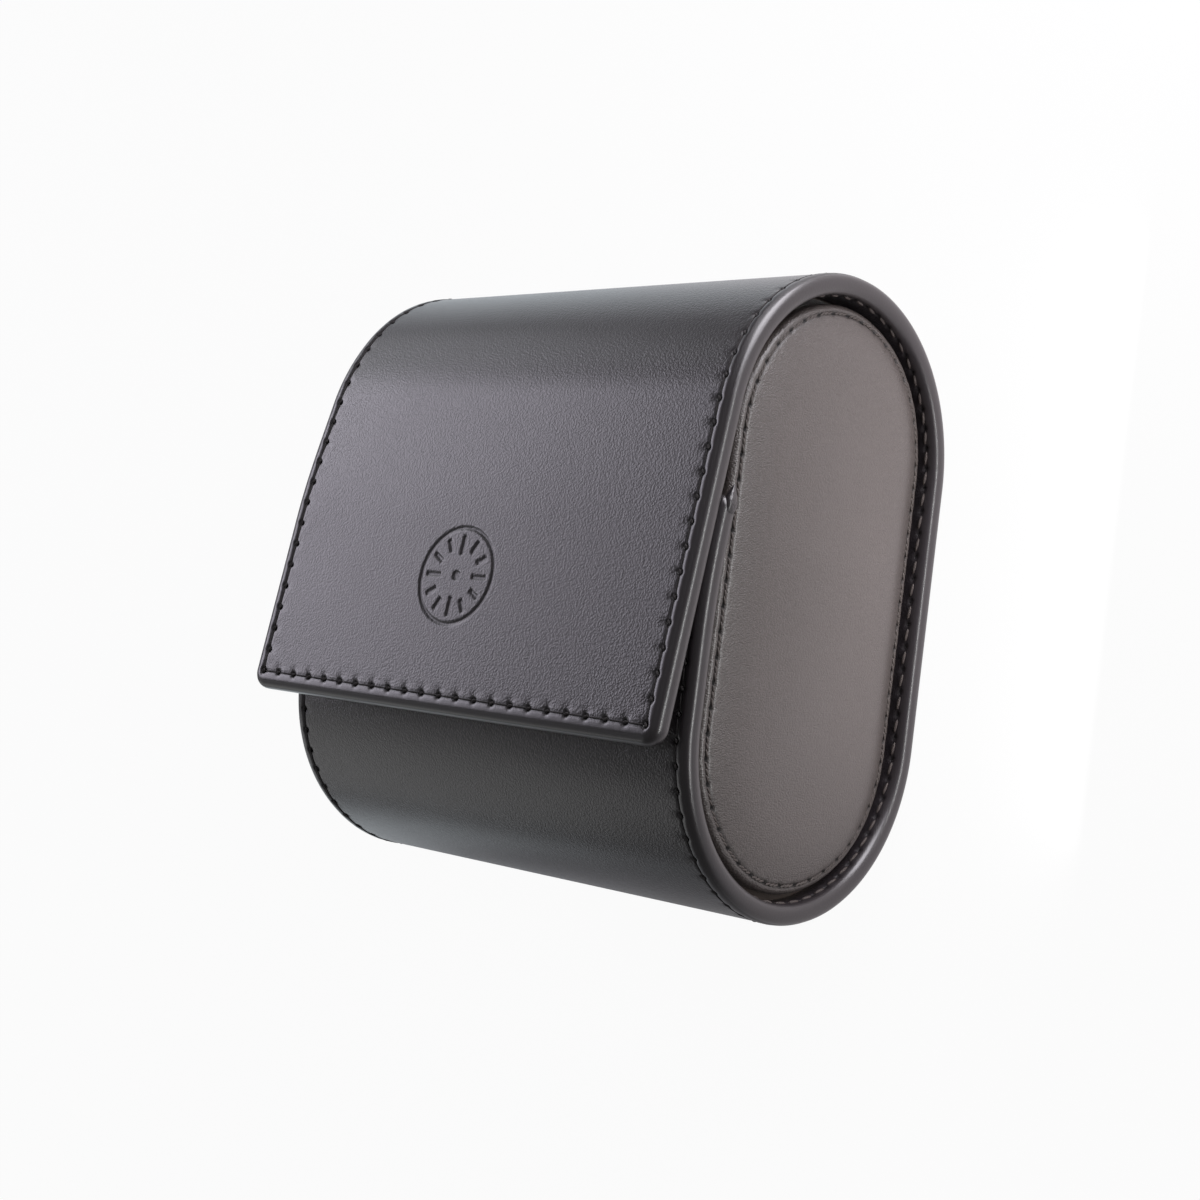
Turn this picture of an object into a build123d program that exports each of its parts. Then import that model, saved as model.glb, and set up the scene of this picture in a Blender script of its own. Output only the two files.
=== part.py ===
from build123d import *
import os
from math import asin, cos, degrees, radians, sin

# Travel case for one wristwatch, lying on its flat back. One stitched strip of leather, board
# and lining makes the front wall, the lower round end, the back, the upper round end and the
# closing flap. Two padded panels stand a little inside its ends, and a suede cushion lies in it.
# X runs along the case, +Y towards the round end that unrolls, +Z out of the flap's face.
# The origin is the middle of the flat back. All lengths are millimetres, all angles degrees.

# ---- driving dimensions: the strip --------------------------------------------------------
CASE_LENGTH = 94.0
SECTION_HEIGHT = 105.0
SECTION_DEPTH = 60.0
LEATHER = 1.0
CORE = 1.4
LINING = 1.0
EDGE_BEVEL = 1.1
CORE_SETBACK = 1.7

# ---- the front wall's free edge, which leans in under the flap -----------------------------
WALL_EDGE_Y = 13.0
WALL_LEAN_START = -10.0
WALL_LEAN_DROP = 2.1
WALL_CORNER = 2.0

# ---- the upper round end, which unrolls on parallel bend lines, and the flap ---------------
BEND_COUNT = 4
BEND_GAP = 0.2
FLAP_TILT = 8.5
FLAP_EDGE_Y = -26.0
FLAP_CORNER = 3.0

# ---- magnets in the flap and steel keepers in the wall ------------------------------------
MAGNET_LENGTH = 18.0
MAGNET_WIDTH = 8.0
MAGNET_SPACING = 56.0
MAGNET_Y = 5.5

# ---- end panels ---------------------------------------------------------------------------
PANEL_GAP = 1.2
PANEL_FRONT_GAP = 2.4
PANEL_RECESS = 2.4
PANEL_CROWN = 1.5
PANEL_MARGIN = 7.0
PANEL_LEATHER = 1.2
PANEL_BOARD = 1.6
PANEL_FOAM = 1.3
PANEL_LINING = 1.0
PANEL_SEAT_Y = 20.0

# ---- cushion ------------------------------------------------------------------------------
CUSHION_LENGTH = 72.0
CUSHION_HEIGHT = 66.0
CUSHION_DEPTH = 38.0
CUSHION_SUEDE = 1.0
CUSHION_CENTRE_Y = -10.0
CUSHION_LIFT = 0.2
TAB_WIDTH = 14.0
TAB_THICKNESS = 1.0
TAB_REACH = 18.0
TAB_TOP_ANGLE = 80.0
TAB_LEAVE_ANGLE = 60.0

# ---- sizes that follow --------------------------------------------------------------------
END_RADIUS = SECTION_DEPTH / 2
ARC_Y = SECTION_HEIGHT / 2 - END_RADIUS
WALL = LEATHER + CORE + LINING
MEETING_DEPTH = WALL / 2
OVERREACH = 1.0

LEAN_RUN = WALL_EDGE_Y - WALL_LEAN_START
LEAN_RADIUS = (LEAN_RUN**2 + WALL_LEAN_DROP**2) / (2 * WALL_LEAN_DROP)
LEAN_ANGLE = degrees(asin(LEAN_RUN / LEAN_RADIUS))

# Round the upper end, angles run from 0 where it leaves the back to 180 at the front.
BEND_STEP = 180.0 / BEND_COUNT
BEND_ANGLES = [BEND_STEP * (index + 0.5) for index in range(BEND_COUNT)]
BEND_NAMES = ["lower_bend", "middle_bend", "upper_bend"]
HALF_GAP_ANGLE = degrees(BEND_GAP / 2 / END_RADIUS)
FLAP_LEAVING = radians(90.0 - FLAP_TILT)
FLAP_LENGTH = (ARC_Y + END_RADIUS * cos(FLAP_LEAVING) - FLAP_EDGE_Y) / sin(FLAP_LEAVING)

PANEL_BACK_Z = WALL + PANEL_GAP
PANEL_FRONT_Z = SECTION_DEPTH - WALL - PANEL_FRONT_GAP
PANEL_HALF = (PANEL_FRONT_Z - PANEL_BACK_Z) / 2
PANEL_Z = PANEL_BACK_Z + PANEL_HALF
PANEL_ARC_Y = SECTION_HEIGHT / 2 - WALL - PANEL_GAP - PANEL_HALF
PANEL_FACE_X = CASE_LENGTH / 2 - PANEL_RECESS
PANEL_BOARD_X = PANEL_FACE_X - PANEL_LEATHER - PANEL_BOARD

CUSHION_RADIUS = CUSHION_DEPTH / 2
CUSHION_HALF = CUSHION_HEIGHT / 2 - CUSHION_RADIUS
CUSHION_Z = WALL + CUSHION_LIFT + CUSHION_RADIUS


# ---- outlines in the YZ plane, drawn as (y, z) --------------------------------------------
def slab(outline, width):
    """The solid of a YZ outline, as wide as width and centred on X = 0."""
    return extrude(Plane.YZ * outline, amount=width / 2, both=True)


def band(outer, inner):
    """The closed outline between two open runs of edges, cut straight across at both ends."""
    cuts = [Line(outer[0] @ 0, inner[0] @ 0), Line(outer[-1] @ 1, inner[-1] @ 1)]
    return make_face(outer + inner + cuts)


def round_end(depth, start, end):
    """An arc of the upper round end, at a depth under its outer surface."""
    return CenterArc((ARC_Y, END_RADIUS), END_RADIUS - depth, start - 90, end - start)


def case_run(depth, inset):
    """The fixed strip at a depth, from the front wall's free edge to the first bend line."""
    lean = LEAN_RADIUS - depth
    lean_angle = LEAN_ANGLE - degrees(inset / lean)
    front = SECTION_DEPTH - depth
    return [
        CenterArc((WALL_LEAN_START, SECTION_DEPTH - LEAN_RADIUS), lean, 90 - lean_angle, lean_angle),
        Line((WALL_LEAN_START, front), (-ARC_Y, front)),
        CenterArc((-ARC_Y, END_RADIUS), END_RADIUS - depth, 90, 180),
        Line((-ARC_Y, depth), (ARC_Y, depth)),
        round_end(depth, 0, BEND_ANGLES[0] - HALF_GAP_ANGLE),
    ]


def bend_run(index):
    """The run of one segment of the upper round end, between two bend lines."""
    start = BEND_ANGLES[index] + HALF_GAP_ANGLE
    end = BEND_ANGLES[index + 1] - HALF_GAP_ANGLE
    return lambda depth, inset: [round_end(depth, start, end)]


def flap_run(depth, inset):
    """The flap at a depth: the last of the round end, then straight on to its free edge."""
    curve = round_end(depth, BEND_ANGLES[-1] + HALF_GAP_ANGLE, 180.0 - FLAP_TILT)
    start = curve @ 1
    length = FLAP_LENGTH - inset
    finish = (start.X - length * sin(FLAP_LEAVING), start.Y + length * cos(FLAP_LEAVING))
    return [curve, Line((start.X, start.Y), finish)]


# ---- strip layers -------------------------------------------------------------------------
def near_free_edge(edge, free_y):
    """Whether an edge belongs to the upper, free edge of a wall or flap."""
    middle = edge.center()
    return free_y is not None and abs(middle.Y - free_y) < 1.0 and middle.Z > END_RADIUS


def through_wall(edge):
    """Whether an edge runs straight through the strip, from its outer to its inner side."""
    return abs(edge.length - WALL) < 0.01


def round_free_corners(part, radius, free_y):
    """Rounds the two corners of a free edge, seen from the front."""
    corners = [e for e in part.edges() if near_free_edge(e, free_y) and through_wall(e)]
    return fillet(corners, radius)


def bevel_edges(part, free_y):
    """Bevels the strip's two ends and its free edge, on the outer and the inner side."""
    found = []
    for edge in part.edges():
        across = abs((edge % 0.5).X) > 0.999
        if not through_wall(edge) and (not across or near_free_edge(edge, free_y)):
            found.append(edge)
    return chamfer(found, EDGE_BEVEL)


def layer(run, outer, inner, setback, free=True):
    """A layer between two depths, set back from the ends, and from a free edge where it has one."""
    inset = setback if free else 0.0
    return slab(band(run(outer, inset), run(inner, inset)), CASE_LENGTH - 2 * setback)


def layers(run, corner=None, free_y=None):
    """The strip's layers: a core, and the two leathers that meet round it halfway through the wall."""
    free = free_y is not None
    strip = layer(run, 0.0, WALL, 0.0)
    if free:
        strip = round_free_corners(strip, corner, free_y)
    strip = bevel_edges(strip, free_y)
    core = layer(run, LEATHER, LEATHER + CORE, CORE_SETBACK, free)
    outer_half = layer(run, 0.0, MEETING_DEPTH, -OVERREACH, free)
    return (strip & outer_half) - core, core, strip - outer_half - core


def inlaid(part):
    """Lets two blocks into a core: the core with its pockets, and the blocks that fill them."""
    places = [Pos(x, MAGNET_Y, SECTION_DEPTH) for x in (-MAGNET_SPACING / 2, MAGNET_SPACING / 2)]
    blocks = [place * Box(MAGNET_LENGTH, MAGNET_WIDTH, END_RADIUS) for place in places]
    return part - blocks, Compound([(part & block).solid() for block in blocks])


def make_case_strip():
    """The fixed strip, with steel keepers for the flap's magnets in the front wall's core."""
    leather, core, lining = layers(case_run, WALL_CORNER, WALL_EDGE_Y)
    board, keepers = inlaid(core)
    return {
        "case_leather": leather,
        "case_core": board,
        "case_lining": lining,
        "wall_keepers": keepers,
    }


def make_bends():
    """The three segments that rock on the bend lines as the upper end unrolls."""
    nodes = {}
    for index, name in enumerate(BEND_NAMES):
        leather, core, lining = layers(bend_run(index))
        nodes[f"{name}_leather"] = leather
        nodes[f"{name}_core"] = core
        nodes[f"{name}_lining"] = lining
    return nodes


def make_flap():
    """The closing flap, with two block magnets in its core."""
    leather, core, lining = layers(flap_run, FLAP_CORNER, FLAP_EDGE_Y)
    board, magnets = inlaid(core)
    return {
        "flap_leather": leather,
        "flap_core": board,
        "flap_lining": lining,
        "flap_magnets": magnets,
    }


# ---- end panels ---------------------------------------------------------------------------
def strip_inside():
    """The stadium outline of the strip's inner face."""
    return Pos(0, END_RADIUS) * SlotCenterToCenter(2 * ARC_Y, 2 * (END_RADIUS - WALL))


def panel_outline(inset):
    """The panel's stadium outline, moved in by an inset."""
    return Pos(0, PANEL_Z) * SlotCenterToCenter(2 * PANEL_ARC_Y, 2 * (PANEL_HALF - inset))


def seat_outline():
    """The lining's outline: it meets the strip where that is fixed, and clears it elsewhere."""
    reach = SECTION_HEIGHT / 2
    back = Pos((PANEL_SEAT_Y - reach) / 2, END_RADIUS / 2) * Rectangle(PANEL_SEAT_Y + reach, END_RADIUS)
    low_end = Pos((WALL_LEAN_START - reach) / 2, END_RADIUS) * Rectangle(WALL_LEAN_START + reach, SECTION_DEPTH)
    return panel_outline(0.0) + (strip_inside() & (back + low_end))


def layer_from(outline, start_x, thickness):
    """A flat layer of a YZ outline, from start_x outwards."""
    return extrude(Plane.YZ.offset(start_x) * outline, amount=thickness)


def pillow():
    """The panel's padded shape, a long low pillow: one profile, turned at its ends."""
    crest = (PANEL_HALF - PANEL_MARGIN, PANEL_FACE_X + PANEL_CROWN)
    brim = (PANEL_HALF, PANEL_FACE_X)
    profile = Polygon((0, PANEL_BOARD_X), (PANEL_HALF, PANEL_BOARD_X), brim, crest, (0, crest[1]), align=None)
    across = Plane((0, -PANEL_ARC_Y, PANEL_Z), x_dir=(0, 0, 1), z_dir=(0, 1, 0)) * profile
    half_bar = extrude(across, amount=2 * PANEL_ARC_Y)
    low_end = revolve(across, Axis((0, -PANEL_ARC_Y, PANEL_Z), (1, 0, 0)), 180)
    bar = half_bar + mirror(half_bar, about=Plane.XY.offset(PANEL_Z))
    return bar + low_end + mirror(low_end, about=Plane.XZ)


def make_right_panel():
    """One end panel: leather drawn over a foam pad and a board, on a lining glued into the strip."""
    board = layer_from(panel_outline(PANEL_LEATHER), PANEL_BOARD_X, PANEL_BOARD)
    foam = layer_from(panel_outline(PANEL_MARGIN / 2), PANEL_BOARD_X + PANEL_BOARD, PANEL_FOAM)
    return {
        "leather": pillow() - board - foam,
        "foam": foam,
        "board": board,
        "lining": layer_from(seat_outline(), PANEL_BOARD_X - PANEL_LINING, PANEL_LINING),
    }


def make_panels():
    """Both end panels, mirror images of each other."""
    nodes = {}
    for layer, part in make_right_panel().items():
        nodes[f"right_panel_{layer}"] = part
        nodes[f"left_panel_{layer}"] = mirror(part, about=Plane.YZ)
    return nodes


# ---- cushion ------------------------------------------------------------------------------
def cushion_outline(depth):
    """The cushion's stadium section, at a depth under its suede."""
    outline = SlotCenterToCenter(2 * CUSHION_HALF, 2 * (CUSHION_RADIUS - depth))
    return Pos(CUSHION_CENTRE_Y, CUSHION_Z) * outline


def tab_run(depth):
    """The pull tab: along the wrap's upper shoulder, then straight off it."""
    centre = (CUSHION_CENTRE_Y + CUSHION_HALF, CUSHION_Z)
    curve = CenterArc(centre, CUSHION_RADIUS + depth, TAB_TOP_ANGLE, TAB_LEAVE_ANGLE - TAB_TOP_ANGLE)
    start = curve @ 1
    leaving = radians(TAB_LEAVE_ANGLE)
    return [curve, Line((start.X, start.Y), (start.X + TAB_REACH * sin(leaving), start.Y - TAB_REACH * cos(leaving)))]


def make_cushion():
    """The removable watch cushion: foam, a suede wrap, two end discs and a leather pull tab."""
    between_ends = CUSHION_LENGTH - 2 * CUSHION_SUEDE
    wrap = slab(cushion_outline(0.0) - cushion_outline(CUSHION_SUEDE), between_ends)
    end = layer_from(cushion_outline(0.0), between_ends / 2, CUSHION_SUEDE)
    return {
        "cushion_foam": slab(cushion_outline(CUSHION_SUEDE), between_ends),
        "cushion_wrap": wrap,
        "cushion_right_end": end,
        "cushion_left_end": mirror(end, about=Plane.YZ),
        "cushion_pull_tab": slab(band(tab_run(TAB_THICKNESS), tab_run(0.0)), TAB_WIDTH),
    }


def main():
    """Builds every node and writes it as one STEP file."""
    os.makedirs("parts", exist_ok=True)
    nodes = make_case_strip() | make_bends() | make_flap() | make_panels() | make_cushion()
    for name, part in nodes.items():
        part.label = name
        export_step(part, f"parts/{name}.step")


main()
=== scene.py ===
import logging
import math
from dataclasses import dataclass
from enum import Enum

import bmesh
import bpy
import numpy as np
from mathutils import Matrix, Vector
from mathutils.bvhtree import BVHTree


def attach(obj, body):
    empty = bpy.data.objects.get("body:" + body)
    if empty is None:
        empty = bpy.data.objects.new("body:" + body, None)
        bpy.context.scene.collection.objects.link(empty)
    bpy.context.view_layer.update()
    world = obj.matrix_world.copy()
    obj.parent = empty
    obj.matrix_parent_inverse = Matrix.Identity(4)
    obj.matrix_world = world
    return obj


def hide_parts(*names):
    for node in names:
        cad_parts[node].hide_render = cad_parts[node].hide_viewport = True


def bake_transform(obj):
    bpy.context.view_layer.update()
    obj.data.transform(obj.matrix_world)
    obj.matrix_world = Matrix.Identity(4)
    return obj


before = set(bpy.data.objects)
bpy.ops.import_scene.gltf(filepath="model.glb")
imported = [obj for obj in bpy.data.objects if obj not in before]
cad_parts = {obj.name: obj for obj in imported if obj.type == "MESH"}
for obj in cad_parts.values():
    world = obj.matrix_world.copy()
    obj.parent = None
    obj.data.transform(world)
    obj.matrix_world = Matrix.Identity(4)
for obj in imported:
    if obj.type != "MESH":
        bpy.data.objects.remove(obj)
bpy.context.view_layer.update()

Array = np.ndarray
Material = bpy.types.Material
Finishes = dict[str, Material]
Mesh = bmesh.types.BMesh
Piece = bpy.types.Object
Socket = bpy.types.NodeSocket
Tree = bpy.types.NodeTree
Triple = tuple[float, float, float]

LOG = logging.getLogger("watch_case")
MM = 0.001
WELD = 0.001 * MM
HAIR = 0.1 * WELD
STITCH_SIDES = 8
STITCH_RINGS = 6

# ---- the case's main sizes, in metres, as the solids have them ----------------------------
HALF_LENGTH = 47.0 * MM
DEPTH = 60.0 * MM
ARC_Y = 22.5 * MM
END_RADIUS = 30.0 * MM
WALL = 3.4 * MM
WALL_EDGE_Y = 13.0 * MM
LEAN_START_Y = -10.0 * MM
LEAN_DROP = 2.1 * MM
FLAP_TILT = math.radians(8.5)
FLAP_EDGE_Y = -26.0 * MM
WALL_CORNER = 2.0 * MM
FLAP_CORNER = 3.0 * MM
BEND_STEP = math.radians(45.0)


class Side(Enum):
    """The two faces of the strip."""

    OUTER = 0
    INNER = 1


class Panel(Enum):
    """The two end panels, by the sign of their X."""

    RIGHT = 1
    LEFT = -1

    @property
    def word(self) -> str:
        """The side, as the names of pieces have it."""
        return self.name.lower()


# ---- shader groups and finishes -----------------------------------------------------------
class NodeSheet:
    """A thin helper that adds and links shader nodes in one tree."""

    def __init__(self, tree: Tree) -> None:
        """Empties the tree to fill it anew."""
        self.tree = tree
        tree.nodes.clear()

    def add(self, kind: str, inputs: dict | None = None, **settings: object) -> bpy.types.Node:
        """Adds a node, sets its properties and feeds its inputs.

        Args:
            kind: The node's type name.
            inputs: Values or output sockets, by input name or number.
            settings: Properties of the node.

        Returns:
            The new node.
        """
        node = self.tree.nodes.new(kind)
        for name, value in settings.items():
            setattr(node, name, value)
        for key, value in (inputs or {}).items():
            if isinstance(value, Socket):
                self.tree.links.new(value, node.inputs[key])
            else:
                node.inputs[key].default_value = value
        return node

    def math(self, operation: str, *values: object, clamp: bool = False) -> Socket:
        """Adds a Math node on numbers or sockets, and gives its result."""
        node = self.add("ShaderNodeMath", dict(enumerate(values)), operation=operation, use_clamp=clamp)
        return node.outputs[0]

    def vector(self, operation: str, first: object, second: object) -> Socket:
        """Adds a Vector Math node, and gives its result."""
        return self.add("ShaderNodeVectorMath", {0: first, 1: second}, operation=operation).outputs[0]

    def past(self, value: object, start: float, slope: float) -> Socket:
        """Rises in proportion once a value is past a start, and is 0 before it."""
        beyond = self.math("MAXIMUM", self.math("SUBTRACT", value, start), 0.0)
        return self.math("MULTIPLY", beyond, slope)

    def mix(self, factor: object, first: object, second: object) -> Socket:
        """Mixes two colours, with a factor of 0 for the first and 1 for the second."""
        node = self.add("ShaderNodeMix", {0: factor, 6: first, 7: second}, data_type="RGBA")
        return node.outputs[2]

    def end(self, kind: str, inputs: dict, output: str = "Material") -> None:
        """Adds the shader that the tree ends in, and the output that it feeds."""
        self.add(f"ShaderNodeOutput{output}", {"Surface": self.add(kind, inputs).outputs[0]})


def new_material(name: str) -> tuple[Material, NodeSheet, Socket]:
    """Makes a material with an empty node tree.

    Args:
        name: The material's name.

    Returns:
        The material, the sheet that fills it and its Object coordinates.
    """
    material = bpy.data.materials.new(name)
    material.use_nodes = True
    sheet = NodeSheet(material.node_tree)
    return material, sheet, sheet.add("ShaderNodeTexCoord").outputs["Object"]


def group_tree(name: str, inputs: dict[str, float], outputs: list[str]) -> Tree:
    """Makes an empty shader group with a Vector input and named value sockets.

    Args:
        name: The group's name.
        inputs: Default values of the float inputs, by name.
        outputs: Names of the float outputs.

    Returns:
        The new group.
    """
    tree = bpy.data.node_groups.new(name, "ShaderNodeTree")
    tree.interface.new_socket(name="Vector", in_out="INPUT", socket_type="NodeSocketVector")
    for label, value in inputs.items():
        socket = tree.interface.new_socket(name=label, in_out="INPUT", socket_type="NodeSocketFloat")
        socket.default_value = value
    for label in outputs:
        tree.interface.new_socket(name=label, in_out="OUTPUT", socket_type="NodeSocketFloat")
    return tree


@dataclass(frozen=True)
class Grain:
    """The leather grain: small pebbles between fine wrinkles, with slow mottling.

    Attributes:
        scale: Pebbles, and wrinkles, to a metre.
        scatter: How unevenly the pebbles stand.
        warp_scale: Scale of the noise that bends their rows.
        warp: How far it bends them, in metres.
        pebble_edge: Distance from a pebble's middle at which its dome ends.
        folds: Height of the wrinkles against the pebbles.
        pore_edge: Distance from a pebble's middle at which the pores start.
        pore_gain: How quickly they darken from there.
        mottle_scale: Scale of the slow patches.
    """

    scale: float = 3000.0
    scatter: float = 0.9
    warp_scale: float = 900.0
    warp: float = 0.3 * MM
    pebble_edge: float = 0.62
    folds: float = 0.22
    pore_edge: float = 0.34
    pore_gain: float = 2.2
    mottle_scale: float = 38.0

    def build(self) -> Tree:
        """Builds the shader group.

        Returns:
            The group, with outputs Height, Pores and Mottle.
        """
        tree = group_tree("leather_grain", {"Stretch": 1.0, "Taut": 0.0}, ["Height", "Pores", "Mottle"])
        sheet = NodeSheet(tree)
        given = sheet.add("NodeGroupInput").outputs
        warp = sheet.add("ShaderNodeTexNoise",
                         {"Vector": given["Vector"], "Scale": self.warp_scale, "Detail": 1.0})
        bent = sheet.vector("MULTIPLY", warp.outputs["Color"], (self.warp,) * 3)
        squeeze = sheet.add("ShaderNodeCombineXYZ", {0: 1.0, 1: given["Stretch"], 2: 1.0})
        drawn = sheet.vector("MULTIPLY", sheet.vector("ADD", given["Vector"], bent), squeeze.outputs[0])
        cells = sheet.add("ShaderNodeTexVoronoi",
                          {"Vector": drawn, "Scale": self.scale, "Randomness": self.scatter},
                          feature="SMOOTH_F1")
        pebble = sheet.math("SUBTRACT", self.pebble_edge, cells.outputs["Distance"], clamp=True)
        wrinkle = sheet.add("ShaderNodeTexNoise", {"Vector": drawn, "Scale": self.scale,
                                                   "Detail": 3.0, "Roughness": 0.55})
        folds = sheet.math("MULTIPLY", wrinkle.outputs["Fac"], self.folds)
        slack = sheet.math("SUBTRACT", 1.0, given["Taut"])
        height = sheet.math("MULTIPLY", sheet.math("ADD", pebble, folds), slack)
        beyond = sheet.math("SUBTRACT", cells.outputs["Distance"], self.pore_edge, clamp=True)
        pores = sheet.math("MULTIPLY", sheet.math("MULTIPLY", beyond, self.pore_gain, clamp=True), slack)
        mottle = sheet.add("ShaderNodeTexNoise",
                           {"Vector": given["Vector"], "Scale": self.mottle_scale, "Detail": 3.0})
        sheet.add("NodeGroupOutput", {"Height": height, "Pores": pores, "Mottle": mottle.outputs["Fac"]})
        return tree


@dataclass(frozen=True)
class Nap:
    """The nap of suede and fabric: fine fibres and slow brushed patches.

    Attributes:
        patch_scale: Scale of the brushed patches.
        swirl: How far the patches are drawn out.
    """

    patch_scale: float = 60.0
    swirl: float = 0.6

    def build(self) -> Tree:
        """Builds the shader group.

        Returns:
            The group, with outputs Height and Brush.
        """
        tree = group_tree("suede_nap", {"Fibre": 2600.0}, ["Height", "Brush"])
        sheet = NodeSheet(tree)
        given = sheet.add("NodeGroupInput").outputs
        fibre = sheet.add("ShaderNodeTexNoise", {"Vector": given["Vector"], "Scale": given["Fibre"],
                                                 "Detail": 4.0, "Roughness": 0.7})
        patch = sheet.add("ShaderNodeTexNoise", {"Vector": given["Vector"], "Scale": self.patch_scale,
                                                 "Detail": 2.0, "Distortion": self.swirl})
        sheet.add("NodeGroupOutput", {"Height": fibre.outputs["Fac"], "Brush": patch.outputs["Fac"]})
        return tree


@dataclass(frozen=True)
class LeatherFinish:
    """A finished leather: its two tones, gloss and grain.

    Two attributes steer it where a piece has them: the hollow mask darkens needle holes, thread
    grooves, creases and stamped lines as painted shade and also dulls them, and "taut" smooths the
    grain where the leather is drawn over an edge.
    """

    name: str
    dark: Triple
    light: Triple
    roughness: float
    grain_depth: float
    stretch: float = 1.0
    coat: float = 0.5
    coat_roughness: float = 0.27
    pore_shade: float = 0.35
    pore_tone: float = 0.45
    # Near-black tone of the painted shade in needle holes, thread grooves, creases and stamped lines.
    painted_shade_tone: Triple = (0.004, 0.0035, 0.0035)
    hollow_dull: float = 0.5
    uneven: float = 0.10

    def build(self, groups: dict[str, Tree]) -> Material:
        """Builds the material.

        Args:
            groups: The shared shader groups, by name.

        Returns:
            The leather's material.
        """
        material, sheet, place = new_material(self.name)
        painted_hollow_shade = sheet.add("ShaderNodeAttribute", attribute_name="painted_hollow_shade").outputs["Fac"]
        taut = sheet.add("ShaderNodeAttribute", attribute_name="taut").outputs["Fac"]
        grain = sheet.add("ShaderNodeGroup", {"Vector": place, "Stretch": self.stretch, "Taut": taut},
                          node_tree=groups["grain"]).outputs
        tone = sheet.mix(grain["Mottle"], (*self.dark, 1.0), (*self.light, 1.0))
        pored = sheet.mix(sheet.math("MULTIPLY", grain["Pores"], self.pore_shade), tone,
                          (*(self.pore_tone * c for c in self.dark), 1.0))
        # Painted shade: the hollow mask darkens holes, grooves, creases and stamped lines towards the
        # near-black tone.
        colour = sheet.mix(painted_hollow_shade, pored, (*self.painted_shade_tone, 1.0))
        spread = sheet.math("MULTIPLY", grain["Mottle"], self.uneven)
        rough = sheet.math("ADD", spread, self.roughness - self.uneven / 2)
        dull = sheet.math("ADD", rough, sheet.math("MULTIPLY", painted_hollow_shade, self.hollow_dull), clamp=True)
        varnish = sheet.math("MULTIPLY", sheet.math("SUBTRACT", 1.0, painted_hollow_shade, clamp=True), self.coat)
        bump = sheet.add("ShaderNodeBump",
                         {"Strength": 1.0, "Distance": self.grain_depth, "Height": grain["Height"]})
        sheet.end("ShaderNodeBsdfPrincipled",
                  {"Base Color": colour, "Roughness": dull, "Normal": bump.outputs[0],
                   "Coat Weight": varnish, "Coat Roughness": self.coat_roughness})
        return material


@dataclass(frozen=True)
class NapFinish:
    """A napped or spun finish: suede, microfibre lining, foam, board or thread."""

    name: str
    dark: Triple
    light: Triple
    roughness: float
    nap_depth: float
    fibre: float = 2600.0
    sheen: float = 0.0
    sheen_roughness: float = 0.4
    fibre_share: float = 0.6
    uneven: float = 0.08

    def build(self, groups: dict[str, Tree]) -> Material:
        """Builds the material.

        Args:
            groups: The shared shader groups, by name.

        Returns:
            The napped material.
        """
        material, sheet, place = new_material(self.name)
        nap = sheet.add("ShaderNodeGroup", {"Vector": place, "Fibre": self.fibre},
                        node_tree=groups["nap"]).outputs
        worn = sheet.math("ADD", sheet.math("MULTIPLY", nap["Height"], self.fibre_share),
                          sheet.math("MULTIPLY", nap["Brush"], 1.0 - self.fibre_share))
        colour = sheet.mix(worn, (*self.dark, 1.0), (*self.light, 1.0))
        rough = sheet.math("ADD", sheet.math("MULTIPLY", nap["Brush"], self.uneven), self.roughness)
        bump = sheet.add("ShaderNodeBump",
                         {"Strength": 1.0, "Distance": self.nap_depth, "Height": nap["Height"]})
        sheet.end("ShaderNodeBsdfPrincipled",
                  {"Base Color": colour, "Roughness": rough, "Normal": bump.outputs[0],
                   "Sheen Weight": self.sheen, "Sheen Roughness": self.sheen_roughness})
        return material


@dataclass(frozen=True)
class SteelFinish:
    """Ground steel, for the keepers and magnets inside the walls."""

    name: str
    tone: Triple
    roughness: float = 0.3
    uneven: float = 0.2

    def build(self, groups: dict[str, Tree]) -> Material:
        """Builds the material.

        Args:
            groups: The shared shader groups, by name.

        Returns:
            The steel's material.
        """
        material, sheet, place = new_material(self.name)
        nap = sheet.add("ShaderNodeGroup", {"Vector": place}, node_tree=groups["nap"]).outputs
        rough = sheet.math("ADD", sheet.math("MULTIPLY", nap["Height"], self.uneven), self.roughness)
        sheet.end("ShaderNodeBsdfPrincipled",
                  {"Base Color": (*self.tone, 1.0), "Roughness": rough, "Metallic": 1.0})
        return material


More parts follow.
